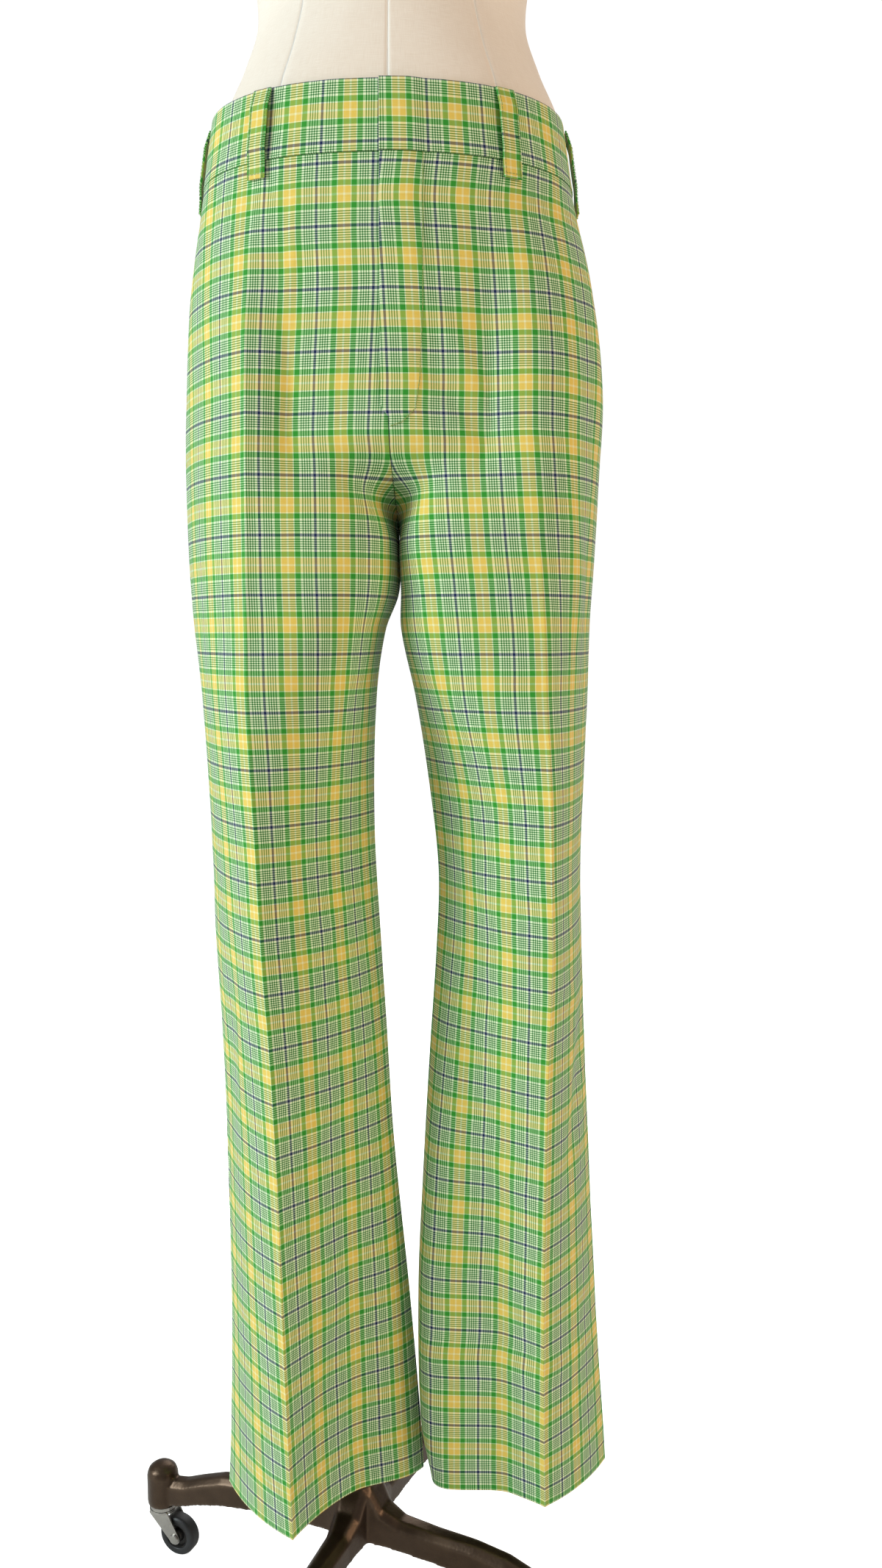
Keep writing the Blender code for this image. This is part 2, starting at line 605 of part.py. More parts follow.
def finish_bmesh(name, shape, material, collection, smooth=True):
    """Turns a bmesh into a named object with its material."""
    mesh = bpy.data.meshes.new(name)
    shape.to_mesh(mesh)
    shape.free()
    if smooth:
        mesh.shade_smooth()
        mesh.set_sharp_from_angle(angle=math.radians(35))
    obj = bpy.data.objects.new(name, mesh)
    collection.objects.link(obj)
    mesh.materials.append(material)
    return obj


def add_cylinder(shape, radius, low, high, x=0.0, y=0.0, sides=ROUND_SIDES):
    """A closed upright cylinder in a bmesh."""
    made = bmesh.ops.create_cone(
        shape, cap_ends=True, segments=sides, radius1=radius, radius2=radius, depth=high - low
    )
    bmesh.ops.translate(shape, vec=(x, y, (low + high) / 2), verts=made["verts"])


def cylinder_object(name, radius, low, high, material, collection, **place):
    """An upright cylinder as an object of its own."""
    shape = bmesh.new()
    add_cylinder(shape, radius, low, high, **place)
    return finish_bmesh(name, shape, material, collection)


def combine(target, operation, cutters, collection):
    """Joins or cuts the target with helper objects, which stay in the cutters' collection."""
    for cutter in cutters:
        for owner in cutter.users_collection:
            owner.objects.unlink(cutter)
        collection.objects.link(cutter)
        cutter.hide_render = True
        cutter.display_type = "WIRE"
        step = target.modifiers.new(f"{operation.title()} {cutter.name}", "BOOLEAN")
        step.operation = operation
        step.object = cutter


def arm_object(index, material, collection):
    """One cast arm, a bar with chamfered top edges that ends in its socket."""
    shape = bmesh.new()
    loops = []
    for station in ARM_STATIONS:
        half, foot, top = station.half_width, station.foot, station.top
        chamfer = min(ARM_CHAMFER, half * 0.6)
        outline = (
            (-half, foot),
            (half, foot),
            (half, top - chamfer),
            (half - chamfer, top),
            (-half + chamfer, top),
            (-half, top - chamfer),
        )
        loops.append([shape.verts.new((station.along, across, z)) for across, z in outline])
    for near, far in zip(loops, loops[1:]):
        for i in range(len(near)):
            j = (i + 1) % len(near)
            shape.faces.new((near[i], near[j], far[j], far[i]))
    shape.faces.new(loops[0][::-1])
    shape.faces.new(loops[-1])
    bmesh.ops.transform(shape, matrix=arm_matrix(index), verts=shape.verts[:])
    bmesh.ops.recalc_face_normals(shape, faces=shape.faces[:])
    return finish_bmesh(f"arm_{index}", shape, material, collection)


def arm_matrix(index):
    """Turns and moves a shape made along +X from the pole onto one arm."""
    turn = math.pi - ARM_TURN + index * 2 * math.pi / ARM_COUNT
    return Matrix.Translation((POLE_X, 0, 0)) @ Matrix.Rotation(turn, 4, "Z")


def socket_object(index, material, collection):
    """The upright socket at the end of an arm, domed on top."""
    shape = bmesh.new()
    dome = SOCKET_RADIUS * 0.75
    heights = (
        (SOCKET_FOOT, 0.96),
        (SOCKET_FOOT + 0.003, 1.0),
        (SOCKET_TOP - dome, 1.0),
        (SOCKET_TOP - dome * 0.5, 0.87),
        (SOCKET_TOP - dome * 0.13, 0.5),
    )
    loops = []
    for z, share in heights:
        turns = [2 * math.pi * i / ROUND_SIDES for i in range(ROUND_SIDES)]
        radius = SOCKET_RADIUS * share
        loops.append(
            [shape.verts.new((ARM_REACH + radius * math.cos(t), radius * math.sin(t), z)) for t in turns]
        )
    for low, high in zip(loops, loops[1:]):
        for i in range(ROUND_SIDES):
            j = (i + 1) % ROUND_SIDES
            shape.faces.new((low[i], low[j], high[j], high[i]))
    crown = shape.verts.new((ARM_REACH, 0, SOCKET_TOP))
    for i in range(ROUND_SIDES):
        shape.faces.new((loops[-1][i], loops[-1][(i + 1) % ROUND_SIDES], crown))
    shape.faces.new(loops[0][::-1])
    bmesh.ops.transform(shape, matrix=arm_matrix(index), verts=shape.verts[:])
    return finish_bmesh(f"socket_{index}", shape, material, collection)


def make_stand(cast, steel, collection, cutters):
    """The base in one casting, the pole that rises from its sleeve and the flange under the form."""
    base = cylinder_object("base", SLEEVE_RADIUS, SLEEVE_FOOT, SLEEVE_TOP, cast, collection, x=POLE_X)
    joined = []
    for index in range(ARM_COUNT):
        joined.append(arm_object(index, cast, collection))
        joined.append(socket_object(index, cast, collection))
    combine(base, "UNION", joined, cutters)
    flange_top = TORSO_RINGS[0].z - REST_GAP
    flange_foot = flange_top - FLANGE
    cylinder_object("pole", POLE_RADIUS, SLEEVE_TOP + REST_GAP, flange_foot - REST_GAP, steel, collection, x=POLE_X)
    cylinder_object("flange", FLANGE_RADIUS, flange_foot, flange_top, steel, collection, x=POLE_X)


def side_outline():
    """The outline of a fork's side plate, from the crown down to a round end about the axle."""
    axle = Vector((TRAIL, WHEEL_RADIUS))
    end_radius = 0.0056
    start, stop = math.radians(215), math.radians(385)
    turns = [start + (stop - start) * i / 7 for i in range(8)]
    foot = [axle + Vector((math.cos(turn), math.sin(turn))) * end_radius for turn in turns]
    crown = [Vector((0.0105, CROWN_TOP - 0.0005)), Vector((-0.0085, CROWN_TOP - 0.0005))]
    return [*foot, *crown, Vector((-0.0095, CROWN_FOOT - 0.002))]


def plate_object(name, side, material, collection):
    """One side plate of a fork, before it is turned onto its arm."""
    shape = bmesh.new()
    outline = side_outline()
    near, far = side * FORK_INNER, side * (FORK_INNER + FORK_PLATE)
    first = [shape.verts.new((point.x, near, point.y)) for point in outline]
    second = [shape.verts.new((point.x, far, point.y)) for point in outline]
    for i in range(len(outline)):
        j = (i + 1) % len(outline)
        shape.faces.new((first[i], first[j], second[j], second[i]))
    shape.faces.new(first[::-1])
    shape.faces.new(second)
    bmesh.ops.recalc_face_normals(shape, faces=shape.faces[:])
    return finish_bmesh(name, shape, material, collection)


def across_cylinder(name, radius, half_length, material, collection, sides=ROUND_SIDES):
    """A cylinder along the axle, before it is turned onto its arm."""
    shape = bmesh.new()
    made = bmesh.ops.create_cone(
        shape, cap_ends=True, segments=sides, radius1=radius, radius2=radius, depth=2 * half_length
    )
    turn = Matrix.Rotation(math.pi / 2, 4, "X")
    bmesh.ops.transform(shape, matrix=turn, verts=made["verts"])
    bmesh.ops.translate(shape, vec=(TRAIL, 0, WHEEL_RADIUS), verts=made["verts"])
    return finish_bmesh(name, shape, material, collection)


def caster_matrix(index):
    """Places a caster made about the origin, trailing along +X, under its socket with the trail inwards."""
    inwards = Matrix.Rotation(math.pi, 4, "Z")
    return arm_matrix(index) @ Matrix.Translation((ARM_REACH, 0, 0)) @ inwards


def wheel_mesh_object(name, material, collection):
    """A solid wheel with softened edges; one flat of its rim is down."""
    shape = bmesh.new()
    bore = AXLE_RADIUS + RUNNING_GAP
    soft = 0.0018
    flat_to_corner = 1 / math.cos(math.pi / WHEEL_SIDES)
    profile = (
        (bore, -WHEEL_HALF_WIDTH),
        (WHEEL_RADIUS * 0.55, -WHEEL_HALF_WIDTH),
        (WHEEL_RADIUS - soft, -WHEEL_HALF_WIDTH),
        (WHEEL_RADIUS * flat_to_corner, -WHEEL_HALF_WIDTH + soft),
        (WHEEL_RADIUS * flat_to_corner, WHEEL_HALF_WIDTH - soft),
        (WHEEL_RADIUS - soft, WHEEL_HALF_WIDTH),
        (WHEEL_RADIUS * 0.55, WHEEL_HALF_WIDTH),
        (bore, WHEEL_HALF_WIDTH),
    )
    loops = []
    for i in range(WHEEL_SIDES):
        turn = -math.pi / 2 + math.pi / WHEEL_SIDES + 2 * math.pi * i / WHEEL_SIDES
        loops.append(
            [
                shape.verts.new((TRAIL + radius * math.cos(turn), across, WHEEL_RADIUS + radius * math.sin(turn)))
                for radius, across in profile
            ]
        )
    for i in range(WHEEL_SIDES):
        near, far = loops[i], loops[(i + 1) % WHEEL_SIDES]
        for j in range(len(profile)):
            k = (j + 1) % len(profile)
            shape.faces.new((near[j], near[k], far[k], far[j]))
    bmesh.ops.recalc_face_normals(shape, faces=shape.faces[:])
    return finish_bmesh(name, shape, material, collection)


def make_caster(index, steel, tyre, collection, cutters):
    """One caster: a race plate with its kingpin, a swivelling fork with its axle, and a wheel."""
    number = index + 1
    place = caster_matrix(index)
    swivel = bpy.data.objects.new(f"swivel_{number}", None)
    swivel.matrix_world = place
    collection.objects.link(swivel)

    race = cylinder_object(
        f"caster_plate_{number}", RACE_RADIUS, CROWN_TOP + REST_GAP, SOCKET_FOOT - REST_GAP, steel, collection
    )
    pin = cylinder_object(
        f"pin_{number}", KINGPIN_RADIUS, CROWN_FOOT, CROWN_TOP + 0.001, steel, collection, sides=16
    )
    combine(race, "UNION", [pin], cutters)

    fork = cylinder_object(f"fork_{number}", CROWN_RADIUS, CROWN_FOOT, CROWN_TOP, steel, collection)
    plates = [plate_object(f"plate_{number}_{side}", side, steel, collection) for side in (-1, 1)]
    outer_face = FORK_INNER + FORK_PLATE
    axle = across_cylinder(f"axle_{number}", AXLE_RADIUS, outer_face + 0.0004, steel, collection, 16)
    combine(fork, "UNION", [*plates, axle], cutters)
    hole = cylinder_object(
        f"pin_hole_{number}",
        KINGPIN_RADIUS + RUNNING_GAP,
        CROWN_FOOT - 0.002,
        CROWN_TOP + 0.002,
        steel,
        collection,
        sides=16,
    )
    combine(fork, "DIFFERENCE", [hole], cutters)
    wheel = wheel_mesh_object(f"wheel_{number}", tyre, collection)
    for piece in (race, pin, fork, *plates, axle, hole, wheel):
        piece.parent = swivel


def main():
    clear_scene()
    parts = make_collection("trousers_on_dress_form")
    cutters = make_collection("cutters", hidden=True)
    finish = {key: make_material(key) for key in COLOURS}
    make_panels(finish["cloth"], parts)
    make_waistband(finish["cloth"], parts)
    make_pocket_facings(finish["cloth"], parts)
    make_belt_loops(finish["cloth"], parts)
    make_torso(finish["linen"], finish["cap"], parts)
    make_neck_cap(finish["cap"], parts)
    make_stand(finish["cast"], finish["steel"], parts, cutters)
    for index in range(ARM_COUNT):
        make_caster(index, finish["steel"], finish["tyre"], parts, cutters)


main()
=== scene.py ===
"""The finished look of checked trousers with flared legs, worn by a limbless dress form on a caster stand.

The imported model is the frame. Its cloth pieces get a finer mesh of the same cut, with the woven check, soft
creases, sewn edges and stitches. The form gets its panel seams and linen, the base its cast skin and each
caster its tyre, hub and bolts. Widths in the tables are measured from the form's middle, and heights from
the floor.
"""

import logging
import math
from dataclasses import dataclass, field
from enum import Enum
from typing import Any, NamedTuple, Sequence

import bmesh
import bpy
from mathutils import Matrix, Vector, noise

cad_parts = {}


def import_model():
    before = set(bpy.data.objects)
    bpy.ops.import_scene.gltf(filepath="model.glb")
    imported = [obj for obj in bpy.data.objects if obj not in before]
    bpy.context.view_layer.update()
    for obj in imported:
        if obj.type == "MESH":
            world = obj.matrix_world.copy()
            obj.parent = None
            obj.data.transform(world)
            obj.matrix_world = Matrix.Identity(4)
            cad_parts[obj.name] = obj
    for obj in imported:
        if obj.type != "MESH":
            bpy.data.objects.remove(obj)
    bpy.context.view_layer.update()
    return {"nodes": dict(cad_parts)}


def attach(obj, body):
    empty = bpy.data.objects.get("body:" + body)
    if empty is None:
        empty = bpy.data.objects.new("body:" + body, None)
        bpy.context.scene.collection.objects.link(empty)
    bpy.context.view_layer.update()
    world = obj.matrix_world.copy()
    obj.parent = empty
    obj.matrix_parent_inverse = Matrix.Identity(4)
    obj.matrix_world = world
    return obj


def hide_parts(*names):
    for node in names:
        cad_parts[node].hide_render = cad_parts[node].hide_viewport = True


LOG = logging.getLogger("trousers")

Colour = tuple[float, float, float]

# Heights
WAIST_TOP = 1.2545
WAIST_SEAM = 1.2045
FLY_END = 1.012
CROTCH = 0.930
CROTCH_ASIDE = 0.0045
HEM = 0.1365

# Cloth
CLOTH = 0.0016
BAND_CLOTH = 0.0024
SEAM_GAP = 0.0004
LOOP_CLOTH = 0.0013
FACING_CLOTH = 0.0010
FACING_GAP = 0.0013

# Fly and side pockets
FLY_EDGE = -0.006
FLY_UNDERLAP = 0.012
LAP_STEP = 0.008
POCKET_TOP = 1.176
POCKET_FOOT = 1.002
POCKET_GAPE = 0.013
POCKET_STAND_OFF = 0.0015
FACING_MARGIN = 0.018
SIDE_ARC = 0.100

CREASE_ANGLE = math.radians(37.5)
RING_POWER = 2.15

# Stand
SUPPORT_OFFSET = 0.034
WIDEST_RIGHT = 0.1835
SOCKET_RADIUS = 0.0146
WHEEL_RADIUS = 0.0185
WHEEL_HALF_WIDTH = 0.0065
TRAIL = 0.0180
ARM_REACH = 0.209
ARM_TURN = math.radians(23.3)
ARM_COUNT = 4
POLE_X = (ARM_REACH * math.cos(ARM_TURN) + SOCKET_RADIUS - SUPPORT_OFFSET - WIDEST_RIGHT) / 2
FORM_X = POLE_X + SUPPORT_OFFSET
AXLE_RADIUS = 0.0024
FORK_OUTER = 0.0096

# Names that the whole object shares
ROOT_BODY = "form_and_base"
CHECK_UV = "check"
EDGE_MASK = "edge"
# The mask of the form's panel seams, where a painted highlight lightens the linen
SEAM_HIGHLIGHT_MASK = "seam"


class Side(Enum):
    """The two halves of the garment, by the sign of their x."""

    LEFT = -1
    RIGHT = 1

    @property
    def pressed_to(self) -> float:
        """The level up to which the front crease is pressed sharp."""
        return 1.10 if self is Side.LEFT else 0.93

    @property
    def loop_at(self) -> float:
        """How far the front belt loop lies from the form's middle."""
        return 0.0935 if self is Side.LEFT else 0.087


class Part(Enum):
    """The two panels of a half."""

    FRONT = "front"
    BACK = "back"


class Ring(NamedTuple):
    """One level of the hips: how far it reaches to each side."""

    z: float
    left: float
    right: float
    front: float
    back: float


class Leg(NamedTuple):
    """One level of a leg: its outer, inner and crease lines, its reach, its side seam and its roundness."""

    z: float
    outer: float
    inner: float
    crease: float
    front: float
    back: float
    side: float
    front_round: float
    inner_round: float
    seam_round: float
    turn_at: float
    back_round: float


class Fold(NamedTuple):
    """A soft ridge or trough of a panel between two places, each a level and a share across the panel."""

    panel: str
    z_from: float
    at_from: float
    z_to: float
    at_to: float
    width: float
    height: float


class Turn(NamedTuple):
    """Where the hip ring turns into a leg, along the middle seam and along the crease."""

    seam_top: float
    crease_top: float
    crease_foot: float


class Torso(NamedTuple):
    """One level of the dress form."""

    z: float
    half_width: float
    front: float
    back: float
    power: float


class Shift(NamedTuple):
    """How far the crease lies from the middle of a yellow stripe, by level."""

    z: float
    shift: float


HIP_RINGS = (
    Ring(0.9000, 0.1655, 0.1600, -0.1055, 0.1010),
    Ring(0.9300, 0.1670, 0.1620, -0.1060, 0.1060),
    Ring(0.9950, 0.1680, 0.1645, -0.1080, 0.1160),
    Ring(1.0450, 0.1665, 0.1650, -0.1090, 0.1180),
    Ring(1.1000, 0.1625, 0.1605, -0.1090, 0.1130),
    Ring(1.1500, 0.1560, 0.1530, -0.1080, 0.1050),
    Ring(1.2045, 0.1470, 0.1405, -0.1065, 0.0960),
    Ring(1.2545, 0.1395, 0.1325, -0.1050, 0.0890),
)
LEFT_LEG = (
    Leg(0.1365, -0.1455, 0.0230, -0.0820, -0.0950, 0.0910, -0.020, 0.30, -0.50, 0.30, 0.80, 0.30),
    Leg(0.1885, -0.1430, 0.0200, -0.0840, -0.0950, 0.0880, -0.019, 0.30, -0.45, 0.30, 0.80, 0.30),
    Leg(0.3000, -0.1410, 0.0110, -0.0870, -0.0960, 0.0780, -0.016, 0.32, -0.20, 0.32, 0.78, 0.32),
    Leg(0.4375, -0.1425, -0.0020, -0.0905, -0.0970, 0.0680, -0.012, 0.36, 0.10, 0.36, 0.75, 0.36),
    Leg(0.5415, -0.1460, -0.0080, -0.0945, -0.0980, 0.0630, -0.008, 0.40, 0.30, 0.40, 0.70, 0.40),
    Leg(0.6085, -0.1500, -0.0120, -0.0985, -0.1000, 0.0640, -0.005, 0.42, 0.42, 0.42, 0.70, 0.42),
    Leg(0.7085, -0.1525, -0.0170, -0.1025, -0.1020, 0.0690, -0.003, 0.46, 0.46, 0.46, 0.70, 0.46),
    Leg(0.8125, -0.1580, -0.0150, -0.1070, -0.1040, 0.0860, -0.001, 0.50, 1.10, 1.10, 0.70, 0.70),
    Leg(0.8680, -0.1635, -0.0078, -0.1063, -0.1048, 0.0985, 0.000, 0.46, 1.65, 1.65, 0.70, 0.95),
    Leg(0.8980, -0.1655, 0.0030, -0.1060, -0.1055, 0.1065, 0.000, 0.45, 1.95, 1.95, 0.70, 1.15),
    Leg(0.9300, -0.1670, 0.0045, -0.1055, -0.1060, 0.1130, 0.000, 0.44, 2.20, 2.20, 0.70, 1.30),
    Leg(1.0120, -0.1675, 0.0045, -0.1040, -0.1080, 0.1210, 0.000, 0.44, 2.40, 2.40, 0.70, 1.40),
)
RIGHT_LEG = (
    Leg(0.1365, 0.1835, 0.0290, 0.1250, -0.0540, 0.1120, 0.012, 0.30, -0.10, 1.60, 0.55, 0.30),
    Leg(0.1885, 0.1800, 0.0200, 0.1235, -0.0580, 0.1080, 0.011, 0.30, -0.10, 1.55, 0.55, 0.30),
    Leg(0.3045, 0.1715, 0.0180, 0.1215, -0.0660, 0.0970, 0.009, 0.32, -0.05, 1.40, 0.57, 0.32),
    Leg(0.4025, 0.1655, 0.0220, 0.1210, -0.0750, 0.0860, 0.006, 0.36, 0.10, 1.10, 0.60, 0.36),
    Leg(0.5135, 0.1600, 0.0280, 0.1215, -0.0840, 0.0760, 0.003, 0.40, 0.30, 0.70, 0.65, 0.40),
    Leg(0.6085, 0.1560, 0.0340, 0.1235, -0.0900, 0.0720, 0.001, 0.42, 0.42, 0.50, 0.70, 0.42),
    Leg(0.6700, 0.1540, 0.0355, 0.1225, -0.0940, 0.0720, 0.000, 0.44, 0.44, 0.44, 0.70, 0.44),
    Leg(0.7405, 0.1555, 0.0280, 0.1210, -0.0980, 0.0750, 0.000, 0.50, 0.50, 0.50, 0.70, 0.50),
    Leg(0.8125, 0.1580, 0.0170, 0.1170, -0.1030, 0.0870, 0.000, 0.58, 1.10, 1.10, 0.70, 0.70),
    Leg(0.8680, 0.1590, 0.0056, 0.1145, -0.1050, 0.0997, 0.000, 0.72, 1.70, 1.70, 0.70, 1.00),
    Leg(0.8980, 0.1604, 0.0057, 0.1125, -0.1055, 0.1063, 0.000, 0.80, 1.95, 1.95, 0.70, 1.15),
    Leg(0.9300, 0.1620, 0.0045, 0.1100, -0.1060, 0.1130, 0.000, 0.86, 2.20, 2.20, 0.70, 1.30),
    Leg(1.0120, 0.1640, 0.0045, 0.1045, -0.1080, 0.1210, 0.000, 0.95, 2.40, 2.40, 0.70, 1.40),
)
FRONT_TURN = Turn(FLY_END, 1.200, 1.030)
BACK_TURN = Turn(1.035, 1.130, 0.900)

# The broad folds are those of the solids, the fine ones are the cloth's own
BROAD_FOLDS = (
    Fold("front_right", 1.150, 0.80, 0.985, 0.86, 0.10, 0.0035),
    Fold("front_right", 0.700, 0.10, 0.610, 0.42, 0.09, 0.0030),
    Fold("front_right", 0.630, 0.06, 0.555, 0.36, 0.08, -0.0026),
    Fold("front_right", 0.560, 0.92, 0.420, 0.72, 0.10, -0.0030),
    Fold("front_left", 0.400, 0.34, 0.230, 0.24, 0.09, 0.0034),
    Fold("front_left", 0.330, 0.20, 0.200, 0.38, 0.08, -0.0028),
    Fold("front_left", 0.620, 0.74, 0.470, 0.88, 0.10, -0.0026),
    Fold("back_left", 0.900, 0.12, 0.820, 0.46, 0.10, 0.0034),
    Fold("back_right", 0.900, 0.12, 0.820, 0.46, 0.10, 0.0034),
    Fold("back_left", 0.640, 0.30, 0.560, 0.70, 0.10, -0.0034),
    Fold("back_right", 0.640, 0.30, 0.560, 0.70, 0.10, -0.0034),
)
FINE_FOLDS = (
    Fold("front_left", 1.198, 0.45, 1.172, 0.44, 0.030, -0.0011),
    Fold("front_left", 1.196, 0.20, 1.160, 0.22, 0.035, -0.0007),
    Fold("front_left", 0.960, 0.02, 0.900, 0.26, 0.040, 0.0012),
    Fold("front_left", 0.930, 0.02, 0.850, 0.20, 0.040, -0.0012),
    Fold("front_right", 0.965, 0.02, 0.925, 0.24, 0.034, 0.0011),
    Fold("front_right", 0.950, 0.02, 0.880, 0.22, 0.034, -0.0011),
    Fold("front_right", 1.030, 0.04, 1.010, 0.22, 0.022, -0.0008),
    Fold("front_right", 1.018, 0.04, 0.990, 0.20, 0.022, 0.0008),
    Fold("front_left", 1.200, 0.70, 1.130, 0.74, 0.050, -0.0009),
    Fold("front_right", 1.200, 0.62, 1.140, 0.64, 0.050, -0.0009),
    Fold("front_left", 0.660, 0.10, 0.600, 0.40, 0.060, 0.0012),
    Fold("front_left", 0.600, 0.12, 0.560, 0.42, 0.060, -0.0010),
    Fold("front_right", 0.590, 0.62, 0.560, 0.90, 0.060, 0.0012),
    Fold("front_right", 1.105, 0.14, 1.025, 0.34, 0.050, 0.0014),
    Fold("front_right", 1.060, 0.12, 0.990, 0.36, 0.045, -0.0014),
    Fold("front_right", 0.975, 0.64, 0.870, 0.74, 0.070, 0.0022),
    Fold("front_right", 0.960, 0.78, 0.850, 0.88, 0.060, -0.0020),
    Fold("front_right", 0.890, 0.12, 0.760, 0.34, 0.060, 0.0018),
    Fold("front_right", 0.470, 0.20, 0.400, 0.46, 0.070, 0.0018),
    Fold("front_right", 0.300, 0.30, 0.240, 0.58, 0.070, -0.0016),
    Fold("front_left", 0.890, 0.10, 0.780, 0.30, 0.060, 0.0018),
    Fold("front_left", 1.180, 0.32, 1.080, 0.36, 0.050, 0.0012),
    Fold("front_left", 0.520, 0.16, 0.450, 0.40, 0.060, 0.0016),
    Fold("back_left", 1.010, 0.10, 0.940, 0.40, 0.060, -0.0016),
    Fold("back_right", 1.010, 0.10, 0.940, 0.40, 0.060, -0.0016),
    Fold("back_left", 0.960, 0.06, 0.880, 0.40, 0.050, 0.0014),
    Fold("back_right", 0.960, 0.06, 0.880, 0.40, 0.050, 0.0014),
)

# The check: where the crease falls on it, in metres from a yellow stripe's middle, measured outwards
LEFT_SHIFTS = (
    Shift(0.1365, 0.0015),
    Shift(0.4140, -0.0042),
    Shift(0.6010, -0.0060),
    Shift(0.7990, -0.0067),
    Shift(0.9810, -0.0105),
    Shift(1.1120, -0.0084),
    Shift(1.1570, -0.0120),
    Shift(1.2045, -0.0162),
)
RIGHT_SHIFTS = (
    Shift(0.1365, 0.0),
    Shift(0.4870, -0.0029),
    Shift(0.8160, 0.0035),
    Shift(0.8440, 0.0031),
    Shift(1.0570, 0.0056),
    Shift(1.1650, 0.0031),
    Shift(1.2045, -0.0055),
)

# The fly's row of stitches: level and distance from the form's middle of each of its corners
FLY_SEAM = (
    (1.2030, 0.0248),
    (1.1500, 0.0247),
    (1.0985, 0.0245),
    (1.0480, 0.0224),
    (1.0265, 0.0192),
    (1.0170, 0.0100),
    (1.0140, 0.0016),
)

# The check's repeats, and the levels of a yellow stripe's middle on the legs and on the band
WARP_REPEAT = 0.0408
WEFT_REPEAT = 0.0435
WEFT_YELLOW = 1.1975 - WEFT_REPEAT / 2
BAND_YELLOW = WAIST_TOP - WEFT_REPEAT / 2

TORSO_RINGS = (
    Torso(1.0120, 0.1020, -0.0560, 0.0640, 2.0),
    Torso(1.0155, 0.1220, -0.0700, 0.0780, 2.0),
    Torso(1.0250, 0.1400, -0.0850, 0.0930, 2.0),
    Torso(1.0420, 0.1520, -0.0965, 0.1050, 2.0),
    Torso(1.0640, 0.1560, -0.1030, 0.1105, 2.0),
    Torso(1.1000, 0.1545, -0.1045, 0.1085, 2.0),
    Torso(1.1500, 0.1474, -0.1035, 0.1005, 2.1),
    Torso(1.2045, 0.1365, -0.1035, 0.0930, 2.15),
    Torso(1.2545, 0.1302, -0.1027, 0.0867, 2.15),
    Torso(1.2900, 0.1150, -0.0965, 0.0770, 2.1),
    Torso(1.3260, 0.1035, -0.0900, 0.0690, 2.1),
    Torso(1.3700, 0.1075, -0.0900, 0.0700, 2.1),
    Torso(1.4200, 0.1200, -0.0980, 0.0770, 2.2),
    Torso(1.4700, 0.1340, -0.1080, 0.0860, 2.3),
    Torso(1.5100, 0.1440, -0.1120, 0.0920, 2.3),
    Torso(1.5500, 0.1560, -0.1080, 0.0960, 2.2),
    Torso(1.5900, 0.1720, -0.0980, 0.0970, 2.1),
    Torso(1.6300, 0.1820, -0.0840, 0.0920, 2.1),
    Torso(1.6600, 0.1800, -0.0720, 0.0820, 2.1),
    Torso(1.6850, 0.1600, -0.0600, 0.0700, 2.1),
    Torso(1.7050, 0.1180, -0.0520, 0.0600, 2.1),
    Torso(1.7200, 0.0820, -0.0490, 0.0560, 2.0),
    Torso(1.7350, 0.0620, -0.0470, 0.0530, 2.0),
    Torso(1.7600, 0.0550, -0.0460, 0.0510, 2.0),
    Torso(1.7900, 0.0540, -0.0450, 0.0500, 2.0),
)


# Measures and curves


def ease(value: float, start: float, end: float) -> float:
    """A soft step from 0 at start to 1 at end.

    Args:
        value: Where the step is read.
        start: Where it leaves 0.
        end: Where it reaches 1.

    Returns:
        A share from 0 to 1.
    """
    share = min(max((value - start) / (end - start), 0.0), 1.0)
    return share * share * (3 - 2 * share)


def signed_power(value: float, power: float) -> float:
    """A power that keeps the sign, for the super-ellipse."""
    return math.copysign(abs(value) ** power, value)


def bump(distance: float, width: float) -> float:
    """A bell of height 1 round distance 0."""
    return math.exp(-((distance / width) ** 2))


class Profile:
    """A table of rows by height, read on a smooth curve through them."""

    def __init__(self, rows: Sequence[Any]) -> None:
        """Keep the rows in order of height.

        Args:
            rows: Named tuples with a z column.
        """
        self.rows = sorted(rows, key=lambda row: row.z)
        self.known: dict[float, Any] = {}

    def at(self, z: float) -> Any:
        """The columns at one level.

        Args:
            z: The level, held to the table's ends.

        Returns:
            A row of the table's own kind.
        """
        if z not in self.known:
            self.known[z] = self.between(z)
        return self.known[z]

    def between(self, z: float) -> Any:
        """The columns at one level, worked out afresh.

        Args:
            z: The level, held to the table's ends.

        Returns:
            A row of the table's own kind.
        """
        rows = self.rows
        z = min(max(z, rows[0].z), rows[-1].z)
        index = max(i for i, row in enumerate(rows[:-1]) if row.z <= z + 1e-9)
        low, high = rows[index], rows[index + 1]
        before, after = rows[max(index - 1, 0)], rows[min(index + 2, len(rows) - 1)]
        span = high.z - low.z
        share = (z - low.z) / span
        columns = [z]
        for name in low._fields[1:]:
            start, end = getattr(low, name), getattr(high, name)
            slope_in = (end - getattr(before, name)) / (high.z - before.z) * span
            slope_out = (getattr(after, name) - start) / (after.z - low.z) * span
            columns.append(
                start * (1 + 2 * share) * (1 - share) ** 2
                + slope_in * share * (1 - share) ** 2
                + end * share**2 * (3 - 2 * share)
                + slope_out * share**2 * (share - 1)
            )
        return type(low)(*columns)


HIPS = Profile(HIP_RINGS)
LEGS = {Side.LEFT: Profile(LEFT_LEG), Side.RIGHT: Profile(RIGHT_LEG)}
SHIFTS = {Side.LEFT: Profile(LEFT_SHIFTS), Side.RIGHT: Profile(RIGHT_SHIFTS)}
TORSO = Profile(TORSO_RINGS)


# The cut of the garment


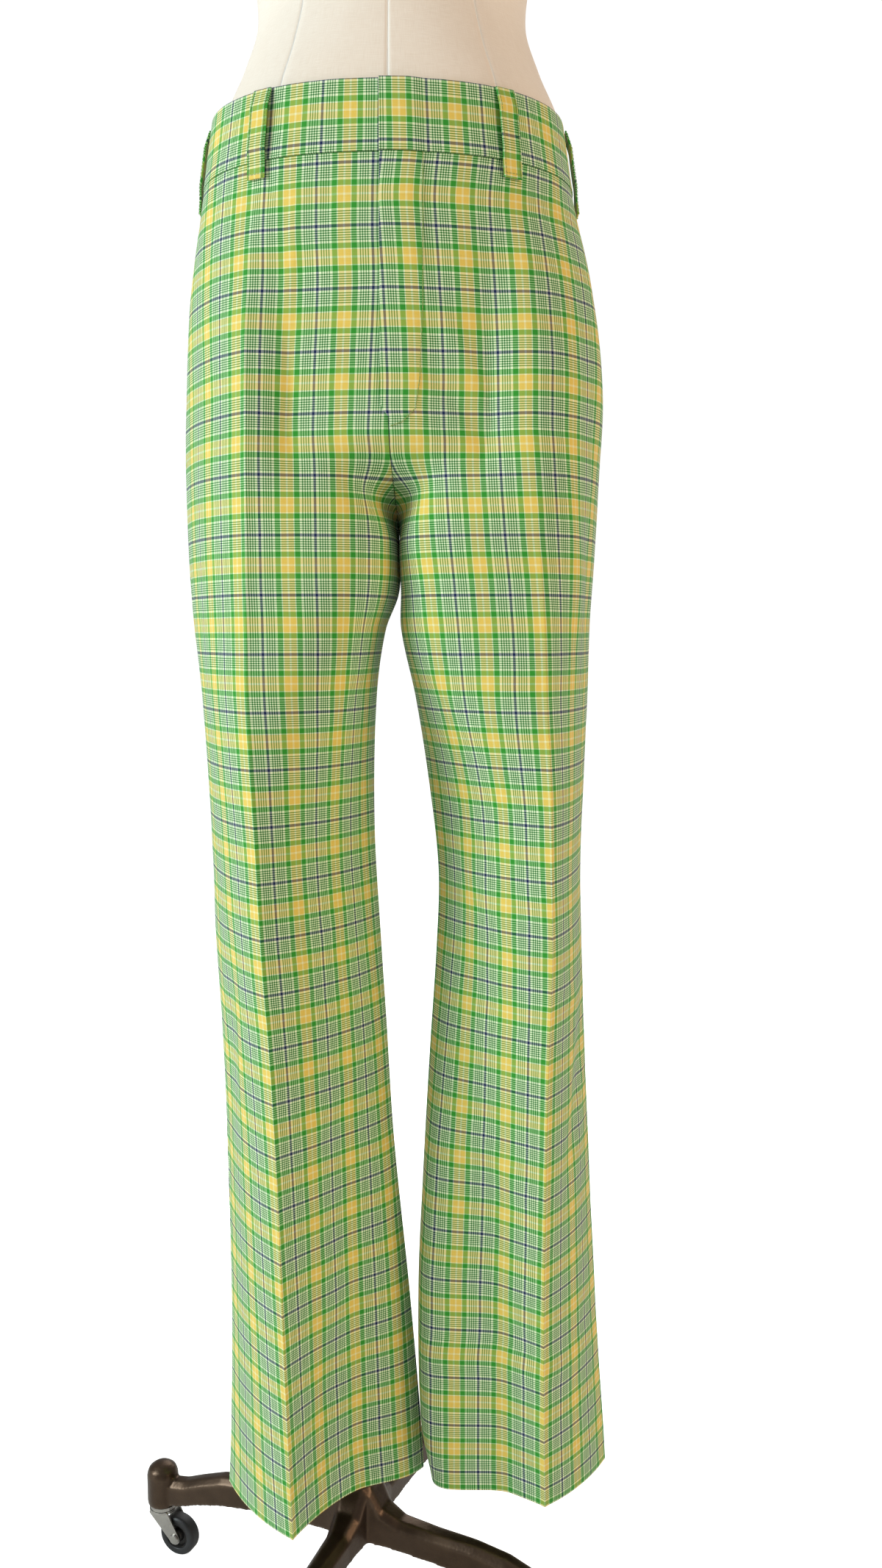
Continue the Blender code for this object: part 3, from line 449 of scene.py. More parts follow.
def ring_point(z: float, angle: float, side: Side, out: float = 0.0) -> Vector:
    """A point of the garment's outer face round the hips.

    Args:
        z: Its level.
        angle: 0 at the middle of the front, pi at the middle of the back.
        side: Its half of the garment.
        out: How far it is moved outwards.

    Returns:
        The point, from the form's middle.
    """
    ring = HIPS.at(z)
    half_width = (ring.left if side is Side.LEFT else ring.right) + out
    depth = (-ring.front if math.cos(angle) > 0 else ring.back) + out
    x = side.value * half_width * signed_power(math.sin(angle), 2 / RING_POWER)
    y = -depth * signed_power(math.cos(angle), 2 / RING_POWER)
    return Vector((x, y, z))


def ring_angle(z: float, x: float, side: Side) -> float:
    """The angle at which the front of the hip ring crosses x.

    Args:
        z: The level.
        x: The place across the front.
        side: The half of the garment.

    Returns:
        The angle from the middle of the front.
    """
    ring = HIPS.at(z)
    half_width = ring.left if side is Side.LEFT else ring.right
    return math.asin(signed_power(side.value * x / half_width, RING_POWER / 2))


def quarter(crease: Vector, edge: Vector, share: float, roundness: float) -> Vector:
    """A point between the crease and an edge where the wall runs from front to back.

    Args:
        crease: The point at share 0.
        edge: The point at share 1.
        share: The place between them.
        roundness: 0 for a straight wall, 1 for an oval, more for a squarer turn.

    Returns:
        The point, in two dimensions.
    """
    across, along = math.sin(share * math.pi / 2), abs(math.cos(share * math.pi / 2))
    power = 2 * max(roundness, 1.0)
    size = (across**power + along**power) ** (1 / power)
    oval = Vector(
        (
            crease.x + (edge.x - crease.x) * across / size,
            edge.y + (crease.y - edge.y) * along / size,
        )
    )
    straight = crease + (edge - crease) * share
    return straight + (oval - straight) * min(roundness, 1.0)


def inner_edge(z: float, side: Side, part: Part) -> float:
    """The x of a panel's inner edge: at the fly, at the seat seam, or down the inseam.

    Args:
        z: The level.
        side: The half of the garment.
        part: The panel.

    Returns:
        The place across, from the form's middle.
    """
    aside = CROTCH_ASIDE * (1.0 - ease(z, CROTCH, FLY_END))
    middle = LEGS[side].at(z).inner if z < CROTCH else aside
    plain = middle + side.value * SEAM_GAP / 2
    if part is Part.BACK or z < FLY_END + LAP_STEP:
        return plain
    lapped = FLY_EDGE if side is Side.RIGHT else FLY_EDGE + FLY_UNDERLAP
    return plain + (lapped - plain) * min((z - FLY_END - LAP_STEP) / LAP_STEP, 1.0)


def leg_share(z: float, part: Part, at: float) -> float:
    """How far the shape has turned from the hip ring into two legs.

    Args:
        z: The level.
        part: The panel.
        at: The share across the panel.

    Returns:
        0 on the hip ring, 1 on a leg.
    """
    turn = FRONT_TURN if part is Part.FRONT else BACK_TURN
    at_edge = 1.0 - ease(z, CROTCH, turn.seam_top)
    at_crease = 1.0 - ease(z, turn.crease_foot, turn.crease_top)
    return at_edge + (at_crease - at_edge) * ease(at, 0.3 if part is Part.FRONT else 0.1, 0.5)


def surface_point(z: float, side: Side, part: Part, at: float, out: float) -> Vector:
    """A point of the legs and seat.

    Args:
        z: Its level.
        side: Its half of the garment.
        part: Its panel.
        at: 0 at the panel's inner edge, 0.5 at its crease and 1 at the side seam.
        out: How far it is moved outwards from the cloth's outer face.

    Returns:
        The point, from the form's middle.
    """
    leg, ring = LEGS[side].at(z), HIPS.at(z)
    front = part is Part.FRONT
    half_width = ring.left if side is Side.LEFT else ring.right
    widest = leg.outer if z < CROTCH else side.value * half_width
    edge_x = inner_edge(z, side, part)
    back_crease = 0.5 * (leg.crease + 0.5 * (leg.outer + leg.inner))
    crease = Vector((leg.crease, leg.front - out)) if front else Vector((back_crease, leg.back + out))
    outer = Vector((widest + side.value * out, leg.side))
    inner = Vector((edge_x, 0.0))
    edge_angle = ring_angle(z, edge_x, side)
    start = edge_angle if front else math.pi - edge_angle
    middle = CREASE_ANGLE if front else math.pi - CREASE_ANGLE
    if at < 0.5:
        angle = start + (middle - start) * at * 2
        share = 1 - at * 2
        turned = ease(share, leg.turn_at - 0.25, leg.turn_at + 0.25)
        low = quarter(crease, inner, share, leg.inner_round + (leg.seam_round - leg.inner_round) * turned)
    else:
        angle = middle + (math.pi / 2 - middle) * (at - 0.5) * 2
        roundness = leg.front_round if front else leg.back_round
        low = quarter(crease, outer, (at - 0.5) * 2, roundness)
    high = ring_point(z, angle, side, out)
    share = leg_share(z, part, at)
    return Vector((high.x + (low.x - high.x) * share, high.y + (low.y - high.y) * share, z))


def fold_height(folds: Sequence[Fold], z: float, at: float) -> float:
    """How far folds move the cloth outwards.

    Args:
        folds: The folds of one panel.
        z: The level.
        at: The share across the panel.

    Returns:
        The height, inwards if negative.
    """
    height = 0.0
    for fold in folds:
        along = Vector((fold.z_to - fold.z_from, (fold.at_to - fold.at_from) * 0.25))
        place = Vector((z - fold.z_from, (at - fold.at_from) * 0.25))
        nearest = min(max(place.dot(along) / along.length_squared, 0.0), 1.0)
        away = (place - along * nearest).length / (fold.width * 0.25)
        if away < 1:
            swell = 0.35 + 0.65 * math.sin(math.pi * nearest)
            height += fold.height * (1 - away * away) ** 2 * swell
    return height


def pocket_opening(z: float) -> float:
    """0 above and below the side pocket, 1 in the middle of its opening."""
    if not POCKET_FOOT < z < POCKET_TOP:
        return 0.0
    return math.sin(math.pi * (z - POCKET_FOOT) / (POCKET_TOP - POCKET_FOOT)) ** 0.8


# Meshes


def new_object(name: str, mesh: bpy.types.Mesh, material: bpy.types.Material) -> bpy.types.Object:
    """A piece in the scene with one finish.

    Args:
        name: The piece's name.
        mesh: Its mesh, in place.
        material: Its finish.

    Returns:
        The object, at the origin.
    """
    obj = bpy.data.objects.new(name, mesh)
    bpy.context.scene.collection.objects.link(obj)
    mesh.materials.clear()
    mesh.materials.append(material)
    return obj


def baked(obj: bpy.types.Object) -> bpy.types.Mesh:
    """The mesh of an object with its modifiers applied."""
    graph = bpy.context.evaluated_depsgraph_get()
    return bpy.data.meshes.new_from_object(obj.evaluated_get(graph), depsgraph=graph)


def from_bmesh(
    name: str, shape: bmesh.types.BMesh, material: bpy.types.Material, sharp: float = 40.0
) -> bpy.types.Object:
    """Turns a closed bmesh into a piece, smooth but for its sharp edges.

    Args:
        name: The piece's name.
        shape: The bmesh, which is freed.
        material: Its finish.
        sharp: The angle in degrees from which an edge stays sharp.

    Returns:
        The object.
    """
    bmesh.ops.recalc_face_normals(shape, faces=shape.faces[:])
    mesh = bpy.data.meshes.new(name)
    shape.to_mesh(mesh)
    shape.free()
    mesh.shade_smooth()
    mesh.set_sharp_from_angle(angle=math.radians(sharp))
    return new_object(name, mesh, material)


def add_turned(shape: bmesh.types.BMesh, profile: Sequence[tuple[float, float]], sides: int, place: Matrix) -> None:
    """Adds a closed turned solid to a bmesh.

    Args:
        shape: The bmesh.
        profile: Radius and height of each ring, from the foot to the top.
        sides: How many sides it is turned in.
        place: Where it stands, turned about its own Z.
    """
    loops = []
    for radius, height in profile:
        turns = [2 * math.pi * i / sides for i in range(sides)]
        ring = [Vector((radius * math.cos(t), radius * math.sin(t), height)) for t in turns]
        loops.append([shape.verts.new(place @ point) for point in ring])
    for low, high in zip(loops, loops[1:]):
        for i in range(sides):
            j = (i + 1) % sides
            shape.faces.new((low[i], low[j], high[j], high[i]))
    shape.faces.new(loops[0][::-1])
    shape.faces.new(loops[-1])


@dataclass
class ClothGrid:
    """Rows of points on a cloth's outer face, each with its place in the check."""

    points: list[list[Vector]] = field(default_factory=list)
    places: list[list[tuple[float, float]]] = field(default_factory=list)

    def add(self, points: list[Vector], places: list[tuple[float, float]]) -> None:
        """Adds one row."""
        self.points.append(points)
        self.places.append(places)

    def flat_size(self) -> tuple[float, float, float]:
        """The cut's flat width, length and area, measured over the cloth.

        Returns:
            The widest row, the mean length down the cloth, and the area.
        """
        widths = [sum((b - a).length for a, b in zip(row, row[1:])) for row in self.points]
        drops = []
        for low, high in zip(self.points, self.points[1:]):
            drops.append(sum((b - a).length for a, b in zip(low, high)) / len(low))
        area = sum(0.5 * (a + b) * drop for a, b, drop in zip(widths, widths[1:], drops))
        return max(widths), sum(drops), area

    def build(self, name: str, wall: float, outwards: bool, material: bpy.types.Material) -> bpy.types.Object:
        """Makes the cloth, thickened inwards.

        Args:
            name: The piece's name.
            wall: The cloth's thickness.
            outwards: Whether the faces are turned round, so that they point outwards.
            material: The finish.

        Returns:
            The piece.
        """
        width = len(self.points[0])
        points = [point + Vector((FORM_X, 0, 0)) for row in self.points for point in row]
        places = [place for row in self.places for place in row]
        faces = []
        for i in range(len(self.points) - 1):
            for j in range(width - 1):
                corner = i * width + j
                face = (corner, corner + 1, corner + width + 1, corner + width)
                faces.append(face[::-1] if outwards else face)
        mesh = bpy.data.meshes.new(name)
        mesh.from_pydata(points, [], faces)
        layer = mesh.uv_layers.new(name=CHECK_UV)
        for loop in mesh.loops:
            layer.data[loop.index].uv = places[loop.vertex_index]
        mesh.shade_smooth()
        obj = new_object(name, mesh, material)
        thick = obj.modifiers.new("Wall", "SOLIDIFY")
        thick.thickness = wall
        thick.offset = -1.0
        thick.use_even_offset = True
        thick.use_quality_normals = True
        edge = obj.modifiers.new("Turned edge", "BEVEL")
        edge.width = wall * 0.34
        edge.segments = 2
        edge.limit_method = "ANGLE"
        edge.angle_limit = math.radians(60)
        return obj


def arc_places(points: Sequence[Vector], zero: int) -> list[float]:
    """The distance of each point along its row from one of them.

    Args:
        points: The row.
        zero: The index where the distance is 0.

    Returns:
        The distances, negative before that point.
    """
    reach = [0.0]
    for before, after in zip(points, points[1:]):
        reach.append(reach[-1] + (after - before).length)
    return [value - reach[zero] for value in reach]


# Shader graphs


class Graph:
    """A node tree under construction."""

    def __init__(self, tree: bpy.types.NodeTree) -> None:
        """Starts on a tree."""
        self.tree = tree

    def add(self, kind: str, values: dict[Any, Any] | None = None, **settings: Any) -> bpy.types.Node:
        """Adds a node.

        Args:
            kind: Its type.
            values: What each input holds, by name or index: a number, a colour, or an output to link.
            **settings: The node's own properties.

        Returns:
            The node.
        """
        node = self.tree.nodes.new(kind)
        for key, value in settings.items():
            setattr(node, key, value)
        for key, value in (values or {}).items():
            if isinstance(value, bpy.types.NodeSocket):
                self.tree.links.new(value, node.inputs[key])
            else:
                node.inputs[key].default_value = value
        return node

    def math(self, operation: str, first: Any, second: Any = 0.0) -> bpy.types.NodeSocket:
        """The output of a math node."""
        return self.add("ShaderNodeMath", {0: first, 1: second}, operation=operation).outputs[0]

    def mix(self, factor: Any, first: Any, second: Any, blend: str = "MIX") -> bpy.types.NodeSocket:
        """The output of a colour mix."""
        node = self.add("ShaderNodeMix", {0: factor, 6: first, 7: second}, data_type="RGBA", blend_type=blend)
        return node.outputs[2]

    def noise(self, vector: Any, scale: float, detail: float = 2.0, roughness: float = 0.5) -> bpy.types.NodeSocket:
        """The value of a noise texture."""
        values = {"Vector": vector, "Scale": scale, "Detail": detail, "Roughness": roughness}
        return self.add("ShaderNodeTexNoise", values).outputs[0]

    def stretched(self, vector: Any, scale: tuple[float, float, float]) -> bpy.types.NodeSocket:
        """A vector scaled along each axis."""
        return self.add("ShaderNodeMapping", {"Vector": vector, "Scale": scale}).outputs[0]

    def ramp(self, factor: Any, stops: Sequence[tuple[float, Colour]], step: bool = False) -> bpy.types.NodeSocket:
        """The colour of a ramp.

        Args:
            factor: Where it is read.
            stops: Place and colour of each stop.
            step: Whether it jumps from stop to stop.

        Returns:
            The colour.
        """
        node = self.add("ShaderNodeValToRGB", {0: factor})
        band = node.color_ramp
        band.interpolation = "CONSTANT" if step else "LINEAR"
        for extra in range(len(stops) - 2):
            band.elements.new(0.5)
        for element, (place, colour) in zip(band.elements, sorted(stops)):
            element.position = place
        for element, (place, colour) in zip(band.elements, sorted(stops)):
            element.color = (*colour, 1.0)
        return node.outputs[0]


def new_group(
    name: str, inputs: Sequence[tuple[str, str, Any]], outputs: Sequence[tuple[str, str]]
) -> tuple[Graph, bpy.types.Node, bpy.types.Node]:
    """A shader group with named sockets.

    Args:
        name: The group's name.
        inputs: Name, kind and default of each input.
        outputs: Name and kind of each output.

    Returns:
        The graph, its input node and its output node.
    """
    tree = bpy.data.node_groups.new(name, "ShaderNodeTree")
    for socket, kind, default in inputs:
        made = tree.interface.new_socket(name=socket, in_out="INPUT", socket_type=kind)
        if default is not None:
            made.default_value = default
    for socket, kind in outputs:
        tree.interface.new_socket(name=socket, in_out="OUTPUT", socket_type=kind)
    graph = Graph(tree)
    return graph, graph.add("NodeGroupInput"), graph.add("NodeGroupOutput")


def new_material(name: str) -> tuple[bpy.types.Material, Graph, bpy.types.Node]:
    """A material with its graph and its main shader."""
    material = bpy.data.materials.new(name)
    material.use_nodes = True
    return material, Graph(material.node_tree), material.node_tree.nodes["Principled BSDF"]


FLOAT, COLOUR, VECTOR = "NodeSocketFloat", "NodeSocketColor", "NodeSocketVector"


@dataclass(frozen=True)
class Yarns:
    """The yarn colours, as the eye sees them, from 0 to 1."""

    white: Colour = (0.900, 0.945, 0.790)
    pale: Colour = (0.930, 0.910, 0.720)
    yellow: Colour = (0.915, 0.785, 0.370)
    green: Colour = (0.200, 0.580, 0.190)
    line: Colour = (0.080, 0.400, 0.120)
    navy: Colour = (0.105, 0.155, 0.320)

    def ends(self, stripes: Sequence[tuple[str, float]]) -> list[tuple[float, Colour]]:
        """The stops of half a repeat, from the middle of the yellow to the middle of the navy.

        Args:
            stripes: Yarn and width of each stripe.

        Returns:
            Place and colour of each stop.
        """
        whole = sum(width for _, width in stripes)
        stops, reach = [], 0.0
        for yarn, width in stripes:
            stops.append((reach / whole, getattr(self, yarn)))
            reach += width
        return stops


@dataclass(frozen=True)
class WovenCheck:
    """The plain weave of the check: its stripes each way and its yarns."""

    yarns: Yarns = Yarns()
    warp: tuple[tuple[str, float], ...] = (
        ("pale", 0.7),
        ("yellow", 4.1),
        ("white", 0.8),
        ("green", 4.1),
        ("white", 2.0),
        *((("line", 0.95), ("white", 1.0)) * 3),
        ("line", 0.95),
        ("white", 2.1),
        ("navy", 1.1),
    )
    weft: tuple[tuple[str, float], ...] = (
        ("pale", 0.8),
        ("yellow", 5.0),
        ("white", 0.9),
        ("green", 4.2),
        ("white", 1.86),
        *((("line", 0.90), ("white", 1.01)) * 4),
        ("line", 0.90),
        ("white", 1.9),
        ("navy", 1.25),
    )
    pitch: float = 0.00044

    def group(self) -> bpy.types.NodeTree:
        """The group that gives the check's colour and the weave's height.

        Returns:
            The group.
        """
        graph, given, result = new_group(
            "woven check",
            (
                ("Place", VECTOR, None),
                ("Warp Repeat", FLOAT, WARP_REPEAT),
                ("Weft Repeat", FLOAT, WEFT_REPEAT),
                ("Thread Pitch", FLOAT, self.pitch),
                ("Slub", FLOAT, 0.10),
            ),
            (("Color", COLOUR), ("Height", FLOAT)),
        )
        place = given.outputs["Place"]
        drift = graph.add("ShaderNodeTexNoise", {"Vector": place, "Scale": 14.0, "Detail": 2.0}).outputs[1]
        centred = graph.add("ShaderNodeVectorMath", {0: drift, 1: (0.5, 0.5, 0.5)}, operation="SUBTRACT").outputs[0]
        moved = graph.add("ShaderNodeVectorMath", {0: centred, 3: 0.0012}, operation="SCALE").outputs[0]
        eased = graph.add("ShaderNodeVectorMath", {0: place, 1: moved}, operation="ADD").outputs[0]
        across = graph.add("ShaderNodeSeparateXYZ", {0: eased})
        yarns = []
        for axis, (repeat, stripes) in enumerate((("Warp Repeat", self.warp), ("Weft Repeat", self.weft))):
            turn = graph.math("DIVIDE", across.outputs[axis], given.outputs[repeat])
            half = graph.math("MULTIPLY", graph.math("PINGPONG", turn, 0.5), 2.0)
            colour = graph.ramp(half, self.yarns.ends(stripes), step=True)
            run = (2600.0, 55.0, 1.0) if axis == 0 else (55.0, 2600.0, 1.0)
            slub = graph.noise(graph.stretched(place, run), 1.0, 1.0)
            shade = graph.math("MULTIPLY", graph.math("SUBTRACT", slub, 0.5), given.outputs["Slub"])
            light = graph.math("ADD", shade, 1.0)
            grey = graph.add("ShaderNodeCombineColor", {0: light, 1: light, 2: light}).outputs[0]
            yarns.append(graph.mix(1.0, colour, grey, "MULTIPLY"))
        waves = []
        for axis in range(2):
            turn = graph.math("DIVIDE", across.outputs[axis], given.outputs["Thread Pitch"])
            waves.append(graph.math("SINE", graph.math("MULTIPLY", turn, math.pi)))
        over = graph.math("MULTIPLY", waves[0], waves[1])
        share = graph.math("ADD", graph.math("MULTIPLY", over, 0.16), 0.5)
        woven = graph.mix(share, yarns[0], yarns[1])
        seen = graph.add("ShaderNodeGamma", {0: woven, 1: 2.2}).outputs[0]
        rough = graph.noise(place, 900.0, 2.0)
        height = graph.math("ADD", graph.math("MULTIPLY", over, 0.35), graph.math("MULTIPLY", rough, 0.5))
        graph.tree.links.new(seen, result.inputs["Color"])
        graph.tree.links.new(height, result.inputs["Height"])
        return graph.tree


@dataclass(frozen=True)
class CheckedCotton:
    """The trousers' cloth: the woven check, soft and dry."""

    roughness: float = 0.80
    sheen: float = 0.18
    weave_depth: float = 0.00022

    def material(self, check: bpy.types.NodeTree) -> bpy.types.Material:
        """The finish, on the check's own UV map.

        Args:
            check: The woven check's group.

        Returns:
            The material.
        """
        material, graph, shader = new_material("checked cotton")
        place = graph.add("ShaderNodeUVMap", uv_map=CHECK_UV).outputs[0]
        weave = graph.add("ShaderNodeGroup", node_tree=check)
        graph.tree.links.new(place, weave.inputs["Place"])
        raised = {"Strength": 0.55, "Distance": self.weave_depth, "Height": weave.outputs["Height"]}
        height = graph.add("ShaderNodeBump", raised)
        graph.tree.links.new(weave.outputs["Color"], shader.inputs["Base Color"])
        graph.tree.links.new(height.outputs[0], shader.inputs["Normal"])
        shader.inputs["Roughness"].default_value = self.roughness
        shader.inputs["Sheen Weight"].default_value = self.sheen
        shader.inputs["Sheen Roughness"].default_value = 0.45
        shader.inputs["Specular IOR Level"].default_value = 0.25
        return material


@dataclass(frozen=True)
class SewingThread:
    """Yellow-green sewing thread with its twist."""

    colour: Colour = (0.30, 0.40, 0.10)
    roughness: float = 0.6

    def material(self) -> bpy.types.Material:
        """The finish."""
        material, graph, shader = new_material("sewing thread")
        place = graph.add("ShaderNodeTexCoord").outputs["Object"]
        twist = graph.noise(place, 2400.0, 1.0)
        dark = tuple(0.72 * part for part in self.colour)
        graph.tree.links.new(graph.ramp(twist, ((0.3, dark), (0.7, self.colour))), shader.inputs["Base Color"])
        shader.inputs["Roughness"].default_value = self.roughness
        return material


@dataclass(frozen=True)
class FormLinen:
    """Unbleached linen stretched over the form, with a painted highlight along its panel seams."""

    light: Colour = (0.90, 0.81, 0.70)
    dark: Colour = (0.82, 0.71, 0.59)
    # The colour of the painted highlight along the panel seams
    seam: Colour = (0.93, 0.915, 0.870)
    roughness: float = 0.88

    def material(self) -> bpy.types.Material:
        """The finish."""
        material, graph, shader = new_material("form linen")
        place = graph.add("ShaderNodeUVMap", uv_map=CHECK_UV).outputs[0]
        warp = graph.noise(graph.stretched(place, (2300.0, 90.0, 1.0)), 1.0, 1.0)
        weft = graph.noise(graph.stretched(place, (90.0, 2300.0, 1.0)), 1.0, 1.0)
        threads = graph.math("MULTIPLY", graph.math("ADD", warp, weft), 0.5)
        clouds = graph.noise(place, 9.0, 4.0)
        spread = graph.math("ADD", graph.math("MULTIPLY", threads, 0.6), graph.math("MULTIPLY", clouds, 0.4))
        base = graph.ramp(spread, ((0.36, self.dark), (0.60, self.light)))
        # The panel seams lightened towards the seam colour: a painted highlight
        seam = graph.add("ShaderNodeAttribute", attribute_name=SEAM_HIGHLIGHT_MASK).outputs["Fac"]
        colour = graph.mix(seam, base, (*self.seam, 1.0))
        height = graph.add("ShaderNodeBump", {"Strength": 0.5, "Distance": 0.0003, "Height": threads})
        graph.tree.links.new(colour, shader.inputs["Base Color"])
        graph.tree.links.new(height.outputs[0], shader.inputs["Normal"])
        shader.inputs["Roughness"].default_value = self.roughness
        shader.inputs["Sheen Weight"].default_value = 0.1
        return material


def worn_metal_group() -> bpy.types.NodeTree:
    """A group for painted and plated metal: mottling, edge wear, and the height of its grain.

    Returns:
        The group.
    """
    graph, given, result = new_group(
        "worn metal",
        (
            ("Body", COLOUR, (0.1, 0.1, 0.1, 1.0)),
            ("Worn", COLOUR, (0.3, 0.3, 0.3, 1.0)),
            ("Mottle Scale", FLOAT, 60.0),
            ("Grain Scale", FLOAT, 900.0),
            ("Wear", FLOAT, 0.6),
            ("Roughness", FLOAT, 0.4),
        ),
        (("Color", COLOUR), ("Roughness", FLOAT), ("Height", FLOAT)),
    )
    place = graph.add("ShaderNodeTexCoord").outputs["Object"]
    broad = {"Vector": place, "Scale": given.outputs["Mottle Scale"], "Detail": 4.0}
    mottle = graph.add("ShaderNodeTexNoise", broad).outputs[0]
    small = {"Vector": place, "Scale": given.outputs["Grain Scale"], "Detail": 3.0}
    grain = graph.add("ShaderNodeTexNoise", small).outputs[0]
    edge = graph.add("ShaderNodeAttribute", attribute_name=EDGE_MASK).outputs["Fac"]
    broken = graph.math("MULTIPLY", edge, graph.math("ADD", mottle, 0.35))
    wear = graph.add("ShaderNodeClamp", {0: graph.math("MULTIPLY", broken, given.outputs["Wear"])}).outputs[0]
    shade = graph.math("ADD", graph.math("MULTIPLY", mottle, 0.7), 0.65)
    grey = graph.add("ShaderNodeCombineColor", {0: shade, 1: shade, 2: shade}).outputs[0]
    body = graph.mix(1.0, given.outputs["Body"], grey, "MULTIPLY")
    graph.tree.links.new(graph.mix(wear, body, given.outputs["Worn"]), result.inputs["Color"])
    spread = graph.math("MULTIPLY", graph.math("SUBTRACT", mottle, 0.5), 0.25)
    graph.tree.links.new(graph.math("ADD", given.outputs["Roughness"], spread), result.inputs["Roughness"])
    graph.tree.links.new(grain, result.inputs["Height"])
    return graph.tree


@dataclass(frozen=True)
class Metal:
    """A metal finish: its colour, its worn edges and its grain."""

    name: str
    body: Colour
    worn: Colour
    metallic: float
    roughness: float
    grain: float
    grain_depth: float
    wear: float = 0.6
    coat: float = 0.0

    def material(self, group: bpy.types.NodeTree) -> bpy.types.Material:
        """The finish.

        Args:
            group: The worn metal group.

        Returns:
            The material.
        """
        material, graph, shader = new_material(self.name)
        skin = graph.add(
            "ShaderNodeGroup",
            node_tree=group,
        )
        skin.inputs["Body"].default_value = (*self.body, 1.0)
        skin.inputs["Worn"].default_value = (*self.worn, 1.0)
        skin.inputs["Grain Scale"].default_value = self.grain
        skin.inputs["Wear"].default_value = self.wear
        skin.inputs["Roughness"].default_value = self.roughness
        raised = {"Strength": 0.5, "Distance": self.grain_depth, "Height": skin.outputs["Height"]}
        height = graph.add("ShaderNodeBump", raised)
        graph.tree.links.new(skin.outputs["Color"], shader.inputs["Base Color"])
        graph.tree.links.new(skin.outputs["Roughness"], shader.inputs["Roughness"])
        graph.tree.links.new(height.outputs[0], shader.inputs["Normal"])
        shader.inputs["Metallic"].default_value = self.metallic
        shader.inputs["Coat Weight"].default_value = self.coat
        shader.inputs["Coat Roughness"].default_value = 0.25
        return material


CAST_BRONZE = Metal(
    "cast bronze paint", (0.074, 0.047, 0.030), (0.18, 0.125, 0.085), 0.85, 0.36, 420.0, 0.00030, 0.5, 0.05
)
PLATED_STEEL = Metal("plated steel", (0.42, 0.40, 0.37), (0.62, 0.60, 0.57), 1.0, 0.30, 1400.0, 0.00005, 0.5)
BROWN_PAINT = Metal("brown paint", (0.115, 0.066, 0.040), (0.26, 0.17, 0.11), 0.0, 0.36, 500.0, 0.00012, 0.5, 0.35)
BLACK_TYRE = Metal("black tyre", (0.014, 0.014, 0.015), (0.05, 0.05, 0.05), 0.0, 0.46, 800.0, 0.00008, 0.4)
DARK_HUB = Metal("dark hub", (0.030, 0.027, 0.025), (0.14, 0.13, 0.12), 0.6, 0.38, 900.0, 0.00006, 0.5)


# The garment


@dataclass
class Panel:
    """One of the four panels cut for the legs and the seat."""

    side: Side
    part: Part
    inner_columns: int = 60
    outer_columns: int = 44
    rows: int = 214
    crease_ridge: float = 0.0007
    crease_width: float = 0.0022
    crowding: float = 1.25

    @property
    def name(self) -> str:
        """The node that the panel stands for."""
        return f"{self.part.value}_{self.side.name.lower()}"

    def levels(self) -> list[float]:
        """The levels of its rows."""
        top = WAIST_SEAM - SEAM_GAP / 2
        return [HEM + (top - HEM) * i / self.rows for i in range(self.rows + 1)]

    def shares(self, z: float) -> list[float]:
        """The shares across of the points of a row, closer together beside the crease.

        Args:
            z: The level.

        Returns:
            The shares.
        """
        inner = [0.5 - 0.5 * (1 - i / self.inner_columns) ** self.crowding for i in range(self.inner_columns)]
        opened = pocket_opening(z) * POCKET_GAPE / SIDE_ARC if self.part is Part.FRONT else 0.0
        steps = [(i / self.outer_columns) ** self.crowding for i in range(self.outer_columns + 1)]
        outer = [0.5 + 0.5 * step * (1 - opened) for step in steps]
        return inner + outer

    def row(self, z: float) -> list[Vector]:
        """The points of the outer face at one level.

        Args:
            z: The level.

        Returns:
            The points, from the inner edge over the crease to the side.
        """
        front = self.part is Part.FRONT
        opened = pocket_opening(z) if front else 0.0
        broad = [fold for fold in BROAD_FOLDS + FINE_FOLDS if fold.panel == self.name]
        seed = 3.1 * self.side.value + (7.7 if front else 0.0)
        shares = self.shares(z)
        plain = [surface_point(z, self.side, self.part, at, 0.0) for at in shares]
        pressed = 1.0 - ease(z, self.side.pressed_to - 0.05, self.side.pressed_to + 0.03)
        reach = arc_places(plain, self.inner_columns)
        points = []
        for at, far in zip(shares, reach):
            lift = fold_height(broad, z, at)
            if front and self.side is Side.RIGHT:
                lap = 1.0 - ease(at, 0.08, 0.16)
                lift += (CLOTH + SEAM_GAP) * lap * min(max((z - FLY_END) / LAP_STEP, 0.0), 1.0)
            lift += opened * POCKET_STAND_OFF * ease(at, 0.75, 0.95)
            lift += self.crease_ridge * bump(far, self.crease_width) * pressed
            lift += 0.0007 * noise.noise(Vector((far * 16, z * 7, seed)))
            lift += 0.00025 * noise.noise(Vector((far * 60, z * 26, seed + 4)))
            points.append(surface_point(z, self.side, self.part, at, lift))
        points[-1] = points[-1] + (points[-2] - points[-1]).normalized() * (SEAM_GAP / 2)
        if z < CROTCH + 0.001:
            points[0] = points[0] + (points[1] - points[0]).normalized() * (SEAM_GAP / 2)
        return points

    def build(self, material: bpy.types.Material) -> bpy.types.Object:
        """Makes the panel and logs its flat size.

        Args:
            material: The cloth.

        Returns:
            The piece.
        """
        grid = ClothGrid()
        for z in self.levels():
            points = self.row(z)
            shift = SHIFTS[self.side].at(z).shift
            reach = arc_places(points, self.inner_columns)
            grid.add(points, [(far + shift, z - WEFT_YELLOW) for far in reach])
        turned = (self.side is Side.RIGHT) != (self.part is Part.FRONT)
        piece = grid.build(f"{self.name}_cloth", CLOTH, turned, material)
        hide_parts(self.name)
        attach(piece, ROOT_BODY)
        width, length, area = grid.flat_size()
        LOG.info("%s: flat %.3f x %.3f m, %.4f m2", piece.name, width, length, area)
        return piece


